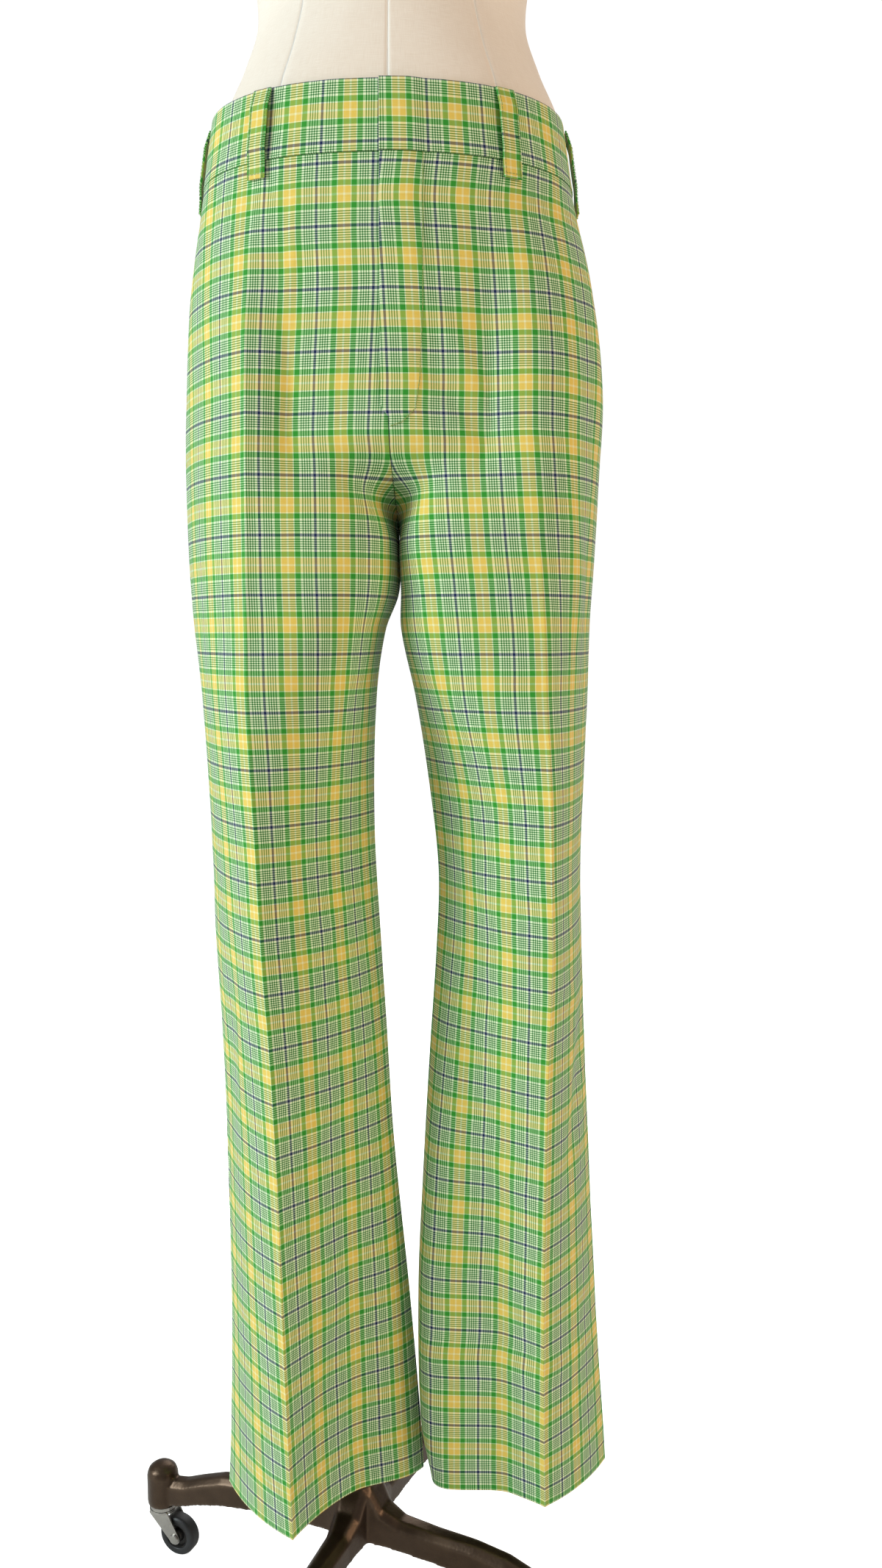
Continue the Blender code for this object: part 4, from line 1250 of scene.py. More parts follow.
@dataclass
class Hem:
    """The turned-up hem inside one panel."""

    panel: Panel
    depth: float = 0.038
    rows: int = 8

    def build(self, material: bpy.types.Material) -> bpy.types.Object:
        """Makes the turning, a second layer inside the foot of the panel.

        Args:
            material: The cloth.

        Returns:
            The piece.
        """
        grid = ClothGrid()
        inset = CLOTH + 0.0002
        for i in range(self.rows + 1):
            z = HEM + 0.0004 + self.depth * i / self.rows
            shares = [share for share in self.panel.shares(z)[::2]]
            folds = [fold for fold in BROAD_FOLDS + FINE_FOLDS if fold.panel == self.panel.name]
            points = []
            for at in shares:
                held = min(max(at, 0.02), 0.98)
                lift = fold_height(folds, z, held) - inset - 0.0006
                points.append(surface_point(z, self.panel.side, self.panel.part, held, lift))
            reach = arc_places(points, len(points) // 2)
            grid.add(points, [(far, HEM - z - WEFT_YELLOW + HEM) for far in reach])
        turned = (self.panel.side is Side.RIGHT) != (self.panel.part is Part.FRONT)
        piece = grid.build(f"{self.panel.name}_hem", 0.0010, turned, material)
        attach(piece, ROOT_BODY)
        f"{self.panel.name}_cloth"
        return piece


@dataclass
class Waistband:
    side: Side
    columns: int = 150
    first_navy: float = 0.0063
    fold_radius: float = 0.0011

    @property
    def name(self) -> str:
        """The node that the half stands for."""
        return f"waistband_{self.side.name.lower()}"

    def outline(self) -> list[tuple[float, float]]:
        """The band's section: height and how far in from the outer face, round the top fold.

        Returns:
            The corners in order, from the foot of the outer face over the top to the foot of the inner one.
        """
        low, high = WAIST_SEAM + SEAM_GAP / 2, WAIST_TOP
        radius = self.fold_radius
        rise = [(low, 0.0004), (low + 0.0006, 0.0)]
        rise += [(low + (high - radius - low) * i / 10, 0.0) for i in range(1, 10)]
        turns = [math.pi * i / 8 for i in range(9)]
        over = [(high - radius + radius * math.sin(t), radius - radius * math.cos(t)) for t in turns]
        fall = [(low + (high - radius - low) * i / 3, BAND_CLOTH) for i in (2, 1)]
        return rise + over + fall + [(low + 0.0006, BAND_CLOTH), (low, BAND_CLOTH - 0.0004)]

    def point(self, z: float, share: float, inset: float, seed: float) -> Vector:
        """A point of the band.

        Args:
            z: Its level.
            share: 0 at the front edge, 1 at the middle of the back.
            inset: How far in from the outer face.
            seed: A number for its own unevenness.

        Returns:
            The point, from the form's middle.
        """
        edge = FLY_EDGE if self.side is Side.RIGHT else FLY_EDGE + FLY_UNDERLAP
        start = ring_angle(z, edge, self.side)
        angle = start + (math.pi - start) * share
        lapped = (1.0 - ease(share, 0.035, 0.075)) * (BAND_CLOTH + SEAM_GAP) if self.side is Side.RIGHT else 0.0
        uneven = 0.0005 * noise.noise(Vector((angle * 5, z * 30, seed)))
        out = BAND_CLOTH - CLOTH - inset + lapped + uneven
        return ring_point(z, angle, self.side, out)

    def build(self, material: bpy.types.Material) -> bpy.types.Object:
        """Makes the half band and logs its flat size.

        Args:
            material: The cloth.

        Returns:
            The piece.
        """
        outline = self.outline()
        phase = self.first_navy + WARP_REPEAT / 2
        run = arc_places([Vector((0, inset, z)) for z, inset in outline], 0)
        shape = bmesh.new()
        layer = shape.loops.layers.uv.new(CHECK_UV)
        places: dict[bmesh.types.BMVert, tuple[float, float]] = {}
        middle = [self.point(WAIST_SEAM + 0.02, i / self.columns, 0.0, 1.0) for i in range(self.columns + 1)]
        edge = FLY_EDGE if self.side is Side.RIGHT else FLY_EDGE + FLY_UNDERLAP
        reach = [far + self.side.value * edge for far in arc_places(middle, 0)]
        loops = []
        for i in range(self.columns + 1):
            ring = []
            for (z, inset), up in zip(outline, run):
                point = self.point(z, i / self.columns, inset, 1.0)
                if i == self.columns:
                    point.x += self.side.value * SEAM_GAP / 2
                vert = shape.verts.new(point + Vector((FORM_X, 0, 0)))
                places[vert] = (reach[i] - phase, WAIST_SEAM + up - BAND_YELLOW)
                ring.append(vert)
            loops.append(ring)
        for near, far in zip(loops, loops[1:]):
            for j in range(len(outline)):
                k = (j + 1) % len(outline)
                shape.faces.new((near[j], near[k], far[k], far[j]))
        shape.faces.new(loops[0])
        shape.faces.new(loops[-1][::-1])
        for face in shape.faces:
            for loop in face.loops:
                loop[layer].uv = places[loop.vert]
        piece = from_bmesh(f"{self.name}_cloth", shape, material, 50.0)
        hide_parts(self.name)
        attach(piece, ROOT_BODY)
        length, depth = reach[-1] - reach[0], WAIST_TOP - WAIST_SEAM
        LOG.info("%s: flat %.3f x %.3f m", piece.name, length, depth)
        return piece


@dataclass
class PocketFacing:
    """The cloth that shows inside a gaping side pocket."""

    side: Side

    def build(self, material: bpy.types.Material) -> bpy.types.Object:
        """Makes the facing.

        Args:
            material: The cloth.

        Returns:
            The piece.
        """
        front = [0.75 + 0.25 * i / 14 for i in range(15)]
        back = [1.0 - (1 / 12) * i / 5 for i in range(1, 6)]
        places = [(Part.FRONT, at) for at in front] + [(Part.BACK, at) for at in back]
        low, high = POCKET_FOOT - FACING_MARGIN, POCKET_TOP + FACING_MARGIN
        grid = ClothGrid()
        for i in range(46):
            z = low + 0.004 + (high - low - 0.010) * i / 45
            out = -CLOTH - FACING_GAP
            points = [surface_point(z, self.side, part, at, out) for part, at in places]
            reach = arc_places(points, 0)
            grid.add(points, [(far + 0.012, z - WEFT_YELLOW + 0.009) for far in reach])
        name = f"pocket_facing_{self.side.name.lower()}"
        piece = grid.build(f"{name}_cloth", FACING_CLOTH, self.side is Side.LEFT, material)
        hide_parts(name)
        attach(piece, ROOT_BODY)
        return piece


@dataclass
class BeltLoop:
    """A belt loop: a folded strip sewn over the band, with room behind it for the belt."""

    number: int
    side: Side
    angle: float
    yellow_height: float
    width: float = 0.0155
    tail: float = 0.013
    stand_off: float = 0.0026
    clearance: float = 0.0006

    def stand(self, share: float) -> float:
        """How far off the band the loop stands, as a share, at a share of its height."""
        knots = ((0.0, 0.0), (0.16, 0.35), (0.34, 1.0), (0.80, 1.0), (1.0, 0.0))
        for (low, a), (high, b) in zip(knots, knots[1:]):
            if share <= high:
                return a + (b - a) * (share - low) / (high - low)
        return 0.0

    def point(self, share: float, across: float, lift: float = 0.0) -> Vector:
        """A point of the loop's outer face.

        Args:
            share: 0 at its foot, 1 at its top.
            across: From -1 to 1 over its width.
            lift: How far it is moved outwards.

        Returns:
            The point, from the form's middle.
        """
        low, high = WAIST_SEAM - self.tail, WAIST_TOP - 0.0005
        z = low + (high - low) * share
        out = BAND_CLOTH - CLOTH + self.clearance + self.stand_off * self.stand(share) + LOOP_CLOTH + lift
        middle = ring_point(z, self.angle, self.side, out)
        ahead = ring_point(z, self.angle - 0.01, self.side, out)
        if self.angle < math.pi:
            along = (middle - ahead).normalized()
        else:
            along = Vector((-self.side.value, 0, 0))
        return middle + along * (self.width / 2 * across)

    def build(self, material: bpy.types.Material) -> bpy.types.Object:
        """Makes the loop.

        Args:
            material: The cloth.

        Returns:
            The piece.
        """
        grid = ClothGrid()
        rows, columns = 34, 10
        for i in range(rows + 1):
            share = i / rows
            sag = -0.0003 * (1 - math.cos(2 * math.pi * share))
            row = []
            for j in range(columns + 1):
                across = -1 + 2 * j / columns
                row.append(self.point(share, across, 0.0002 * (1 - across**4) + sag * 0.3))
            z = row[0].z
            places = [((point - row[0]).length - 0.0058, z - self.yellow_height) for point in row]
            if self.side is Side.LEFT:
                places = [(0.0155 - 0.0058 - u - 0.0058 - 0.0015, v) for u, v in places]
            grid.add(row, places)
        piece = grid.build(f"belt_loop_{self.number}_cloth", LOOP_CLOTH, self.side is Side.LEFT, material)
        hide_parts(f"belt_loop_{self.number}")
        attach(piece, ROOT_BODY)
        band = f"waistband_{self.side.name.lower()}"
        return piece

    def seams(self) -> list[list[Vector]]:
        """The paths of its stitches: one along each edge and one across its foot."""
        steps = [0.02 + 0.94 * i / 30 for i in range(31)]
        edges = [[self.point(share, across, 0.0004) for share in steps] for across in (-0.78, 0.78)]
        foot = [self.point(0.05, -0.76 + 1.52 * i / 8, 0.0004) for i in range(9)]
        return [*edges, foot]


@dataclass
class Stitching:
    """Rows of stitches laid along paths, made with Geometry Nodes."""

    name: str
    paths: list[list[Vector]]
    pitch: float = 0.0027
    length: float = 0.0021
    radius: float = 0.00023

    def tree(self) -> bpy.types.NodeTree:
        """The node tree that sets a stitch at each step of each path.

        Returns:
            The tree, with inputs for the stitch's sizes and its thread.
        """
        tree = bpy.data.node_groups.new("stitches along a path", "GeometryNodeTree")
        sockets = (
            ("Geometry", "NodeSocketGeometry"),
            ("Pitch", FLOAT),
            ("Stitch Length", FLOAT),
            ("Thread Radius", FLOAT),
            ("Thread", "NodeSocketMaterial"),
        )
        for socket, kind in sockets:
            tree.interface.new_socket(name=socket, in_out="INPUT", socket_type=kind)
        tree.interface.new_socket(name="Geometry", in_out="OUTPUT", socket_type="NodeSocketGeometry")
        graph = Graph(tree)
        given, result = graph.add("NodeGroupInput"), graph.add("NodeGroupOutput")
        curve = graph.add("GeometryNodeMeshToCurve", {"Mesh": given.outputs["Geometry"]})
        spaced = {"Curve": curve.outputs[0], "Length": given.outputs["Pitch"]}
        steps = graph.add("GeometryNodeResampleCurve", spaced, mode="LENGTH")
        radius, length = given.outputs["Thread Radius"], given.outputs["Stitch Length"]
        values = {"Vertices": 6, "Side Segments": 1, "Radius": radius, "Depth": length}
        stitch = graph.add("GeometryNodeMeshCylinder", values)
        tangent = graph.add("GeometryNodeInputTangent")
        turn = graph.add("FunctionNodeAlignRotationToVector", {"Vector": tangent.outputs[0]}, axis="Z")
        laid = {"Points": steps.outputs[0], "Instance": stitch.outputs[0], "Rotation": turn.outputs[0]}
        placed = graph.add("GeometryNodeInstanceOnPoints", laid)
        real = graph.add("GeometryNodeRealizeInstances", {"Geometry": placed.outputs[0]})
        sewn = {"Geometry": real.outputs[0], "Material": given.outputs["Thread"]}
        dressed = graph.add("GeometryNodeSetMaterial", sewn)
        tree.links.new(dressed.outputs[0], result.inputs["Geometry"])
        return tree

    def build(self, material: bpy.types.Material) -> bpy.types.Object:
        """Makes the stitches as one plain mesh.

        Args:
            material: The thread.

        Returns:
            The piece.
        """
        points, edges = [], []
        for path in self.paths:
            first = len(points)
            points += [point + Vector((FORM_X, 0, 0)) for point in path]
            edges += [(first + i, first + i + 1) for i in range(len(path) - 1)]
        guide = bpy.data.meshes.new(f"{self.name}_guide")
        guide.from_pydata(points, edges, [])
        helper = new_object(f"{self.name}_guide", guide, material)
        tree = self.tree()
        modifier = helper.modifiers.new("Stitches", "NODES")
        modifier.node_group = tree
        values = {"Pitch": self.pitch, "Stitch Length": self.length, "Thread Radius": self.radius, "Thread": material}
        for item in tree.interface.items_tree:
            if item.item_type == "SOCKET" and item.in_out == "INPUT" and item.name in values:
                modifier[item.identifier] = values[item.name]
        bpy.context.view_layer.update()
        mesh = baked(helper)
        bpy.data.objects.remove(helper, do_unlink=True)
        mesh.name = self.name
        piece = new_object(self.name, mesh, material)
        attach(piece, ROOT_BODY)
        return piece


@dataclass
class Trousers:
    """The garment: four panels, the band, the facings, the belt loops and the sewing."""

    cloth: bpy.types.Material
    thread: bpy.types.Material

    def panels(self) -> list[bpy.types.Object]:
        """Makes the four panels and their turned-up hems."""
        pieces = []
        for side in Side:
            for part in Part:
                panel = Panel(side, part)
                pieces.append(panel.build(self.cloth))
                pieces.append(Hem(panel).build(self.cloth))
        return pieces

    def band(self) -> list[bpy.types.Object]:
        """Makes the two halves of the band."""
        return [
            Waistband(Side.LEFT, first_navy=0.0063).build(self.cloth),
            Waistband(Side.RIGHT, first_navy=0.0290).build(self.cloth),
        ]

    def loops(self) -> list[BeltLoop]:
        """The five belt loops: two at the front, two at the sides, one at the middle of the back."""
        front = {side: ring_angle(WAIST_SEAM, side.value * side.loop_at, side) for side in Side}
        places = (
            (Side.LEFT, front[Side.LEFT], 1.2325),
            (Side.RIGHT, front[Side.RIGHT], 1.2420),
            (Side.LEFT, math.pi / 2, 1.2250),
            (Side.RIGHT, math.pi / 2, 1.2380),
            (Side.RIGHT, math.pi, 1.2300),
        )
        return [BeltLoop(number, *place) for number, place in enumerate(places, start=1)]

    def build(self) -> list[bpy.types.Object]:
        """Makes the whole garment."""
        pieces = self.panels() + self.band()
        pieces += [PocketFacing(side).build(self.cloth) for side in Side]
        loops = self.loops()
        pieces += [loop.build(self.cloth) for loop in loops]
        seams = [seam for loop in loops for seam in loop.seams()]
        pieces.append(Stitching("belt_loop_stitching", seams, 0.0026, 0.0020, 0.00020).build(self.thread))
        pieces.append(Stitching("fly_stitching", [self.fly_seam()], 0.0027, 0.0022, 0.00032).build(self.thread))
        return pieces

    def fly_seam(self) -> list[Vector]:
        """The path of the fly's J-shaped row of stitches, on the right front."""
        path = []
        for (z_from, x_from), (z_to, x_to) in zip(FLY_SEAM, FLY_SEAM[1:]):
            for step in range(12):
                share = step / 12
                z, x = z_from + (z_to - z_from) * share, x_from + (x_to - x_from) * share
                path.append(self.front_point(z, x))
        return path

    def front_point(self, z: float, x: float) -> Vector:
        """A point just over the right front's outer face at one place across."""
        low, high = 0.0, 0.5
        for _ in range(30):
            at = 0.5 * (low + high)
            if surface_point(z, Side.RIGHT, Part.FRONT, at, 0.0).x < x:
                low = at
            else:
                high = at
        lap = 1.0 - ease(at, 0.08, 0.16)
        lift = (CLOTH + SEAM_GAP) * lap * min(max((z - FLY_END) / LAP_STEP, 0.0), 1.0)
        folds = [fold for fold in BROAD_FOLDS + FINE_FOLDS if fold.panel == "front_right"]
        return surface_point(z, Side.RIGHT, Part.FRONT, at, lift + fold_height(folds, z, at) + 0.0003)


# The dress form


@dataclass
class DressForm:
    """The padded body with its panel seams, between flat armholes."""

    sides: int = 150
    rows: int = 190
    bust_level: float = 1.505
    bust_at: float = 0.072
    bust_spread: float = 0.062
    bust_rise: float = 0.016
    armhole_at: float = 0.160
    seam_depth: float = 0.0009

    def seam_turns(self) -> list[float]:
        """The turns at which the panels of its cover meet."""
        princess = math.acos(0.60 ** (2.15 / 2))
        back = math.acos(0.52 ** (2.15 / 2))
        front = -math.pi / 2
        return [
            front,
            -princess,
            princess - math.pi,
            0.0,
            math.pi - 1e-6,
            math.pi / 2,
            back,
            math.pi - back,
        ]

    def turns(self) -> list[tuple[float, float, float]]:
        """Each column's turn, its depth in the seam and how strongly the painted highlight along the seam lightens
        it.
        """
        seams = sorted(turn % (2 * math.pi) for turn in self.seam_turns())
        step = 0.010
        # Depth in the seam and strength of its painted highlight, by distance from the seam
        fine = {0.0: (1.0, 1.0), 0.5: (0.45, 0.55), 1.0: (0.0, 0.0)}
        columns = []
        for turn in seams:
            for share, (depth, seam_highlight) in fine.items():
                for sign in (-1, 1) if share else (1,):
                    columns.append(((turn + sign * share * step) % (2 * math.pi), depth, seam_highlight))
        for i in range(self.sides):
            turn = 2 * math.pi * i / self.sides
            if all(abs((turn - seam + math.pi) % (2 * math.pi) - math.pi) > 1.8 * step for seam in seams):
                columns.append((turn, 0.0, 0.0))
        return sorted(columns)

    def point(self, ring: Torso, turn: float, depth: float) -> Vector:
        """A point of the cover.

        Args:
            ring: Its level.
            turn: 0 at the form's own left side, a quarter turn at its back.
            depth: How deep it lies in a seam, from 0 to 1.

        Returns:
            The point, from the form's middle.
        """
        reach = ring.front if math.sin(turn) < 0 else ring.back
        x = ring.half_width * signed_power(math.cos(turn), 2 / ring.power)
        y = abs(reach) * signed_power(math.sin(turn), 2 / ring.power)
        if math.sin(turn) < 0:
            across = (abs(x) - self.bust_at) / self.bust_spread
            up = (ring.z - self.bust_level) / self.bust_spread
            y -= self.bust_rise * math.exp(-across * across - up * up)
        flat = Vector((x, y, 0))
        pull = self.seam_depth * depth
        return Vector((x, y, ring.z)) - flat.normalized() * pull

    def build(self, material: bpy.types.Material) -> bpy.types.Object:
        """Makes the body.

        Args:
            material: The linen.

        Returns:
            The piece.
        """
        shape = bmesh.new()
        layer = shape.loops.layers.uv.new(CHECK_UV)
        # The painted highlight along the panel seams, kept on each vertex
        seam = shape.verts.layers.float.new(SEAM_HIGHLIGHT_MASK)
        columns = self.turns()
        low, high = TORSO_RINGS[0].z, TORSO_RINGS[-1].z
        levels = [low + (high - low) * i / self.rows for i in range(self.rows + 1)]
        levels = sorted({*levels, *(ring.z for ring in TORSO_RINGS[:4])})
        places: dict[bmesh.types.BMVert, tuple[float, float]] = {}
        loops = []
        for z in levels:
            ring = TORSO.at(z)
            row = []
            for turn, depth, seam_highlight in columns:
                vert = shape.verts.new(self.point(ring, turn, depth) + Vector((FORM_X, 0, 0)))
                vert[seam] = seam_highlight
                places[vert] = (turn * 0.13, z)
                row.append(vert)
            loops.append(row)
        count = len(columns)
        for below, above in zip(loops, loops[1:]):
            for i in range(count):
                j = (i + 1) % count
                face = shape.faces.new((below[i], below[j], above[j], above[i]))
                for loop in face.loops:
                    u, v = places[loop.vert]
                    loop[layer].uv = (u + (2 * math.pi * 0.13 if j == 0 and u < 0.1 else 0.0), v)
        shape.faces.new(loops[0][::-1])
        shape.faces.new(loops[-1])
        for side in (-1, 1):
            cut = bmesh.ops.bisect_plane(
                shape,
                geom=shape.verts[:] + shape.edges[:] + shape.faces[:],
                plane_co=(FORM_X + side * self.armhole_at, 0, 0),
                plane_no=(side, 0, 0),
                clear_outer=True,
            )
            rim = [item for item in cut["geom_cut"] if isinstance(item, bmesh.types.BMEdge)]
            bmesh.ops.contextual_create(shape, geom=rim)
        piece = from_bmesh("form_body", shape, material, 60.0)
        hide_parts("torso")
        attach(piece, ROOT_BODY)
        return piece


# The stand


@dataclass
class CastBase:
    """The base's casting, its edges softened and rubbed."""

    voxel: float = 0.0014
    softening: int = 6

    def build(self, casting: bpy.types.Object, material: bpy.types.Material) -> bpy.types.Object:
        """Makes the casting from the frame's own solid.

        Args:
            casting: The frame's base.
            material: The paint.

        Returns:
            The piece.
        """
        shape = bmesh.new()
        shape.from_mesh(casting.data)
        bmesh.ops.remove_doubles(shape, verts=shape.verts[:], dist=1e-6)
        mesh = bpy.data.meshes.new("cast_base")
        shape.to_mesh(mesh)
        shape.free()
        helper = new_object("cast_base_form", mesh, material)
        skin = helper.modifiers.new("Skin", "REMESH")
        skin.mode = "VOXEL"
        skin.voxel_size = self.voxel
        soft = helper.modifiers.new("Soft", "SMOOTH")
        soft.factor = 0.5
        soft.iterations = self.softening
        bpy.context.view_layer.update()
        skinned = baked(helper)
        bpy.data.objects.remove(helper, do_unlink=True)
        mark_edges(skinned, self.voxel)
        skinned.shade_smooth()
        piece = new_object("cast_base", skinned, material)
        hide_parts("base")
        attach(piece, ROOT_BODY)
        return piece


def mark_edges(mesh: bpy.types.Mesh, size: float) -> None:
    """Keeps how convex a mesh is at each vertex, for the wear along its edges.

    Args:
        mesh: The mesh.
        size: The length of its edges.
    """
    shape = bmesh.new()
    shape.from_mesh(mesh)
    shape.normal_update()
    values = []
    for vert in shape.verts:
        around = [edge.other_vert(vert).co for edge in vert.link_edges]
        middle = sum(around, Vector()) / max(len(around), 1)
        values.append((vert.co - middle).dot(vert.normal) / size)
    shape.free()
    layer = mesh.attributes.new(EDGE_MASK, "FLOAT", "POINT")
    for item, value in zip(layer.data, values):
        item.value = min(max(value * 9.0, 0.0), 1.0)


@dataclass
class Caster:
    """One caster's dressing: its tyre, its hub and the bolts of its axle."""

    index: int
    bolt_radius: float = 0.0046
    bolt_height: float = 0.0021

    @property
    def number(self) -> int:
        """The caster's number in the frame."""
        return self.index + 1

    def place(self) -> Matrix:
        """Where the caster stands: trailing along +X, turned under its arm."""
        turn = math.pi - ARM_TURN + self.index * 2 * math.pi / ARM_COUNT
        arm = Matrix.Translation((POLE_X, 0, 0)) @ Matrix.Rotation(turn, 4, "Z")
        return arm @ Matrix.Translation((ARM_REACH, 0, 0)) @ Matrix.Rotation(math.pi, 4, "Z")

    def axle(self) -> Matrix:
        """Where the axle lies, its length along its own Z."""
        across = Matrix.Rotation(math.pi / 2, 4, "X")
        return self.place() @ Matrix.Translation((TRAIL, 0, WHEEL_RADIUS)) @ across

    def tyre(self, material: bpy.types.Material) -> bpy.types.Object:
        """Makes the tyre, a ring with rounded shoulders.

        Args:
            material: The rubber.

        Returns:
            The piece.
        """
        shape = bmesh.new()
        half, radius, inner = WHEEL_HALF_WIDTH, WHEEL_RADIUS, 0.0112
        soft = 0.0032
        profile = [(inner, -half + 0.0006), (inner + 0.0006, -half)]
        turns = [-math.pi / 2 + math.pi / 2 * i / 6 for i in range(7)]
        profile += [(radius - soft + soft * math.cos(t), -half + soft + soft * math.sin(t)) for t in turns]
        turns = [math.pi / 2 * i / 6 for i in range(7)]
        profile += [(radius - soft + soft * math.cos(t), half - soft + soft * math.sin(t)) for t in turns]
        profile += [(inner + 0.0006, half), (inner, half - 0.0006)]
        self.ring(shape, profile)
        piece = from_bmesh(f"tyre_{self.number}", shape, material, 50.0)
        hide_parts(f"wheel_{self.number}")
        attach(piece, f"caster_wheel_{self.number}")
        return piece

    def hub(self, material: bpy.types.Material) -> bpy.types.Object:
        """Makes the hub with its raised boss.

        Args:
            material: The plating.

        Returns:
            The piece.
        """
        shape = bmesh.new()
        bore, web, rim, boss = AXLE_RADIUS + 0.0004, 0.0030, 0.0111, 0.0050
        half = [(bore, 0.0064), (boss - 0.0006, 0.0064), (boss, 0.0058), (boss + 0.0012, web)]
        half += [(rim - 0.0018, web), (rim - 0.0008, 0.0052), (rim, 0.0052)]
        profile = [(radius, -across) for radius, across in half] + half[::-1]
        self.ring(shape, profile)
        piece = from_bmesh(f"hub_{self.number}", shape, material, 40.0)
        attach(piece, f"caster_wheel_{self.number}")
        return piece

    def ring(self, shape: bmesh.types.BMesh, profile: Sequence[tuple[float, float]], sides: int = 72) -> None:
        """Adds a ring about the axle to a bmesh.

        Args:
            shape: The bmesh.
            profile: Radius and place along the axle of each corner, in order round the section.
            sides: How many sides it is turned in.
        """
        place = self.axle()
        loops = []
        for i in range(sides):
            turn = 2 * math.pi * i / sides
            around = [Vector((r * math.cos(turn), r * math.sin(turn), across)) for r, across in profile]
            loops.append([shape.verts.new(place @ point) for point in around])
        for i in range(sides):
            near, far = loops[i], loops[(i + 1) % sides]
            for j in range(len(profile)):
                k = (j + 1) % len(profile)
                shape.faces.new((near[j], near[k], far[k], far[j]))

    def bolts(self, material: bpy.types.Material) -> bpy.types.Object:
        """Makes the domed bolt head and the hexagon nut on the ends of the axle.

        Args:
            material: The plating.

        Returns:
            The piece.
        """
        shape = bmesh.new()
        radius, height = self.bolt_radius, self.bolt_height
        head = [(radius, 0.0), (radius, height * 0.4), (radius * 0.86, height * 0.8), (radius * 0.5, height)]
        outwards = self.axle() @ Matrix.Translation((0, 0, FORK_OUTER + 0.0001))
        add_turned(shape, head, 28, outwards)
        inwards = self.axle() @ Matrix.Rotation(math.pi, 4, "X") @ Matrix.Translation((0, 0, FORK_OUTER + 0.0001))
        nut = [(radius * 0.96, 0.0), (radius, 0.0003), (radius, height * 0.82), (radius * 0.92, height)]
        add_turned(shape, nut, 6, inwards)
        end = [(AXLE_RADIUS, height), (AXLE_RADIUS, height + 0.0006), (AXLE_RADIUS * 0.8, height + 0.0009)]
        add_turned(shape, end, 16, inwards)
        piece = from_bmesh(f"axle_bolt_{self.number}", shape, material, 30.0)
        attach(piece, f"caster_fork_{self.number}")
        return piece

    def build(
        self, tyre: bpy.types.Material, steel: bpy.types.Material, dark: bpy.types.Material
    ) -> list[bpy.types.Object]:
        """Makes the caster's dressing.

        Args:
            tyre: The rubber.
            steel: The plating.
            dark: The hub's paint.

        Returns:
            The pieces.
        """
        return [self.tyre(tyre), self.hub(dark), self.bolts(steel)]


@dataclass
class Collar:
    """The clamp on top of the base's sleeve."""

    radius: float = 0.0205
    foot: float = 0.1380
    top: float = 0.1560

    def build(self, material: bpy.types.Material) -> bpy.types.Object:
        """Makes the collar.

        Args:
            material: The paint.

        Returns:
            The piece.
        """
        shape = bmesh.new()
        soft = 0.0018
        profile = [(0.0171, self.foot), (self.radius - soft, self.foot), (self.radius, self.foot + soft)]
        profile += [(self.radius, self.top - soft), (self.radius - soft, self.top), (0.0171, self.top)]
        add_turned(shape, profile, 56, Matrix.Translation((POLE_X, 0, 0)))
        piece = from_bmesh("sleeve_collar", shape, material, 50.0)
        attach(piece, ROOT_BODY)
        return piece


@dataclass
class Stand:
    """The cast base, the pole, the flange and the casters."""

    nodes: dict[str, bpy.types.Object]
    cast: bpy.types.Material
    steel: bpy.types.Material
    paint: bpy.types.Material
    rubber: bpy.types.Material
    dark: bpy.types.Material

    def dress(self, name: str, material: bpy.types.Material) -> None:
        """Gives one of the frame's own nodes its finish."""
        node = self.nodes[name]
        if not node.material_slots:
            node.data.materials.append(material)
        for place in node.material_slots:
            place.material = material

    def build(self) -> list[bpy.types.Object]:
        """Makes and dresses the stand."""
        pieces = [CastBase().build(self.nodes["base"], self.cast), Collar().build(self.cast)]
        for name in ("pole", "flange", *(f"{kind}_{n}" for n in range(1, 5) for kind in ("fork", "caster_plate"))):
            self.dress(name, self.steel)
        for name in ("neck_cap", "arm_plate_left", "arm_plate_right"):
            self.dress(name, self.paint)
        for index in range(ARM_COUNT):
            pieces += Caster(index).build(self.rubber, self.steel, self.dark)
        return pieces


# The studio


@dataclass(frozen=True)
class Lamp:
    """A soft rectangular lamp."""

    name: str
    place: tuple[float, float, float]
    aim: tuple[float, float, float]
    size: tuple[float, float]
    power: float
    colour: Colour

    def build(self) -> bpy.types.Object:
        """Makes the lamp."""
        data = bpy.data.lights.new(self.name, "AREA")
        data.shape = "RECTANGLE"
        data.size, data.size_y = self.size
        data.energy = self.power
        data.color = self.colour
        lamp = bpy.data.objects.new(self.name, data)
        bpy.context.scene.collection.objects.link(lamp)
        lamp.location = self.place
        lamp.rotation_euler = (Vector(self.aim) - Vector(self.place)).to_track_quat("-Z", "Y").to_euler()
        return lamp


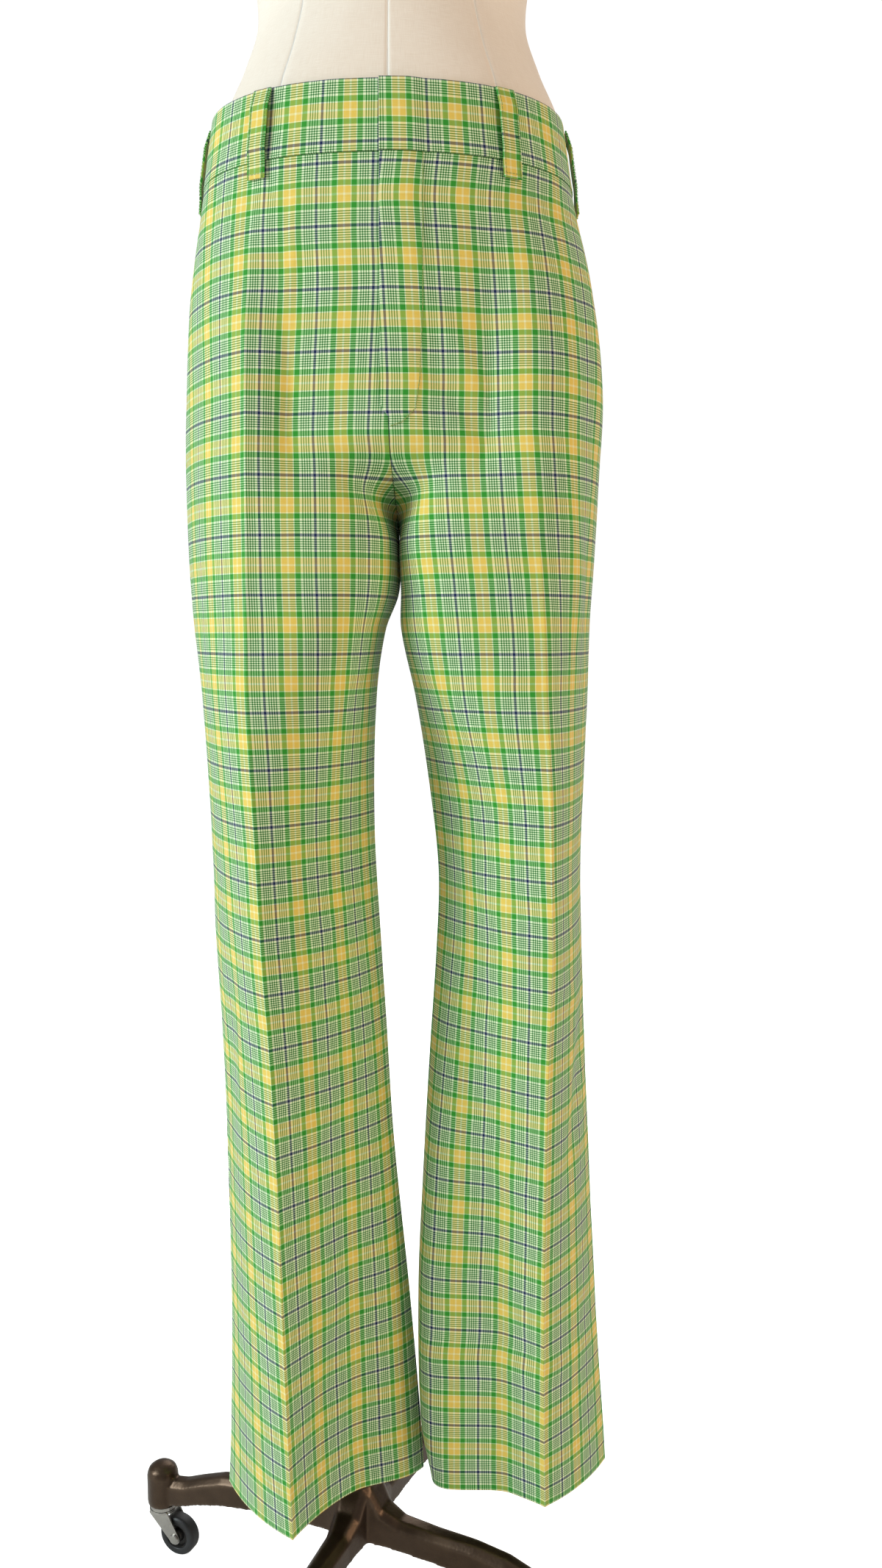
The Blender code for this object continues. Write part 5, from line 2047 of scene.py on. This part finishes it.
@dataclass(frozen=True)
class Studio:
    """The white floor and backdrop, the soft light and the camera."""

    lens: float = 30.28
    pitch: float = 6.54
    height: float = 0.8655
    distance: float = 1.085
    aside: float = 0.0378
    sky: float = 0.31
    backdrop: float = 1.02
    lift: float = 0.85
    lamps: tuple[Lamp, ...] = (
        Lamp("window", (-2.5, -1.1, 1.7), (0.0, 0.0, 0.8), (1.1, 2.0), 74.0, (0.86, 0.97, 1.0)),
        Lamp("warm fill", (2.2, -1.5, 1.5), (0.05, 0.0, 0.9), (1.0, 1.6), 29.0, (1.0, 0.76, 0.54)),
        Lamp("back", (0.6, 2.4, 2.0), (0.0, 0.0, 0.9), (2.0, 2.0), 24.0, (1.0, 0.98, 0.95)),
    )

    def floor(self) -> bpy.types.Object:
        """Makes the plain floor, which the camera sees lifted to white."""
        material, graph, shader = new_material("studio floor")
        place = graph.add("ShaderNodeTexCoord").outputs["Object"]
        cloud = graph.noise(place, 3.0, 2.0)
        paint = graph.ramp(cloud, ((0.3, (0.88, 0.88, 0.875)), (0.7, (0.90, 0.90, 0.90))))
        graph.tree.links.new(paint, shader.inputs["Base Color"])
        shader.inputs["Roughness"].default_value = 0.9
        seen = graph.add("ShaderNodeLightPath").outputs["Is Camera Ray"]
        shader.inputs["Emission Color"].default_value = (1.0, 1.0, 1.0, 1.0)
        graph.tree.links.new(graph.math("MULTIPLY", seen, self.lift), shader.inputs["Emission Strength"])
        mesh = bpy.data.meshes.new("floor")
        half = 12.0
        mesh.from_pydata([(-half, -half, 0), (half, -half, 0), (half, half, 0), (-half, half, 0)], [], [(0, 1, 2, 3)])
        obj = new_object("floor", mesh, material)
        return obj

    def camera(self) -> bpy.types.Object:
        """Makes the camera at the photograph's place."""
        data = bpy.data.cameras.new("camera")
        data.lens = self.lens
        data.sensor_width = 36.0
        data.clip_start = 0.05
        camera = bpy.data.objects.new("camera", data)
        bpy.context.scene.collection.objects.link(camera)
        camera.location = (FORM_X + self.aside, -self.distance, self.height)
        camera.rotation_euler = (math.radians(90 - self.pitch), 0, 0)
        bpy.context.scene.camera = camera
        return camera

    def build(self) -> None:
        """Makes the whole studio."""
        scene = bpy.context.scene
        world = bpy.data.worlds.new("studio")
        world.use_nodes = True
        graph = Graph(world.node_tree)
        sky = world.node_tree.nodes["Background"]
        sky.inputs["Color"].default_value = (1.0, 1.0, 1.0, 1.0)
        seen = graph.add("ShaderNodeLightPath").outputs["Is Camera Ray"]
        spread = graph.math("MULTIPLY", seen, self.backdrop - self.sky)
        graph.tree.links.new(graph.math("ADD", spread, self.sky), sky.inputs["Strength"])
        scene.world = world
        scene.view_settings.view_transform = "Standard"
        self.floor()
        for lamp in self.lamps:
            lamp.build()
        self.camera()


def main() -> None:
    """Builds the garment, the form, the stand and the studio, in that order."""
    logging.basicConfig(level=logging.INFO, format="%(name)s: %(message)s")
    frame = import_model()
    cloth = CheckedCotton().material(WovenCheck().group())
    thread = SewingThread().material()
    metal = worn_metal_group()
    for piece in Trousers(cloth, thread).build():
        LOG.info("sewn: %s", piece.name)
    LOG.info("covered: %s", DressForm().build(FormLinen().material()).name)
    stand = Stand(
        frame["nodes"],
        CAST_BRONZE.material(metal),
        PLATED_STEEL.material(metal),
        BROWN_PAINT.material(metal),
        BLACK_TYRE.material(metal),
        DARK_HUB.material(metal),
    )
    for piece in stand.build():
        LOG.info("stood: %s", piece.name)
    Studio().build()


if __name__ == "__main__":
    main()
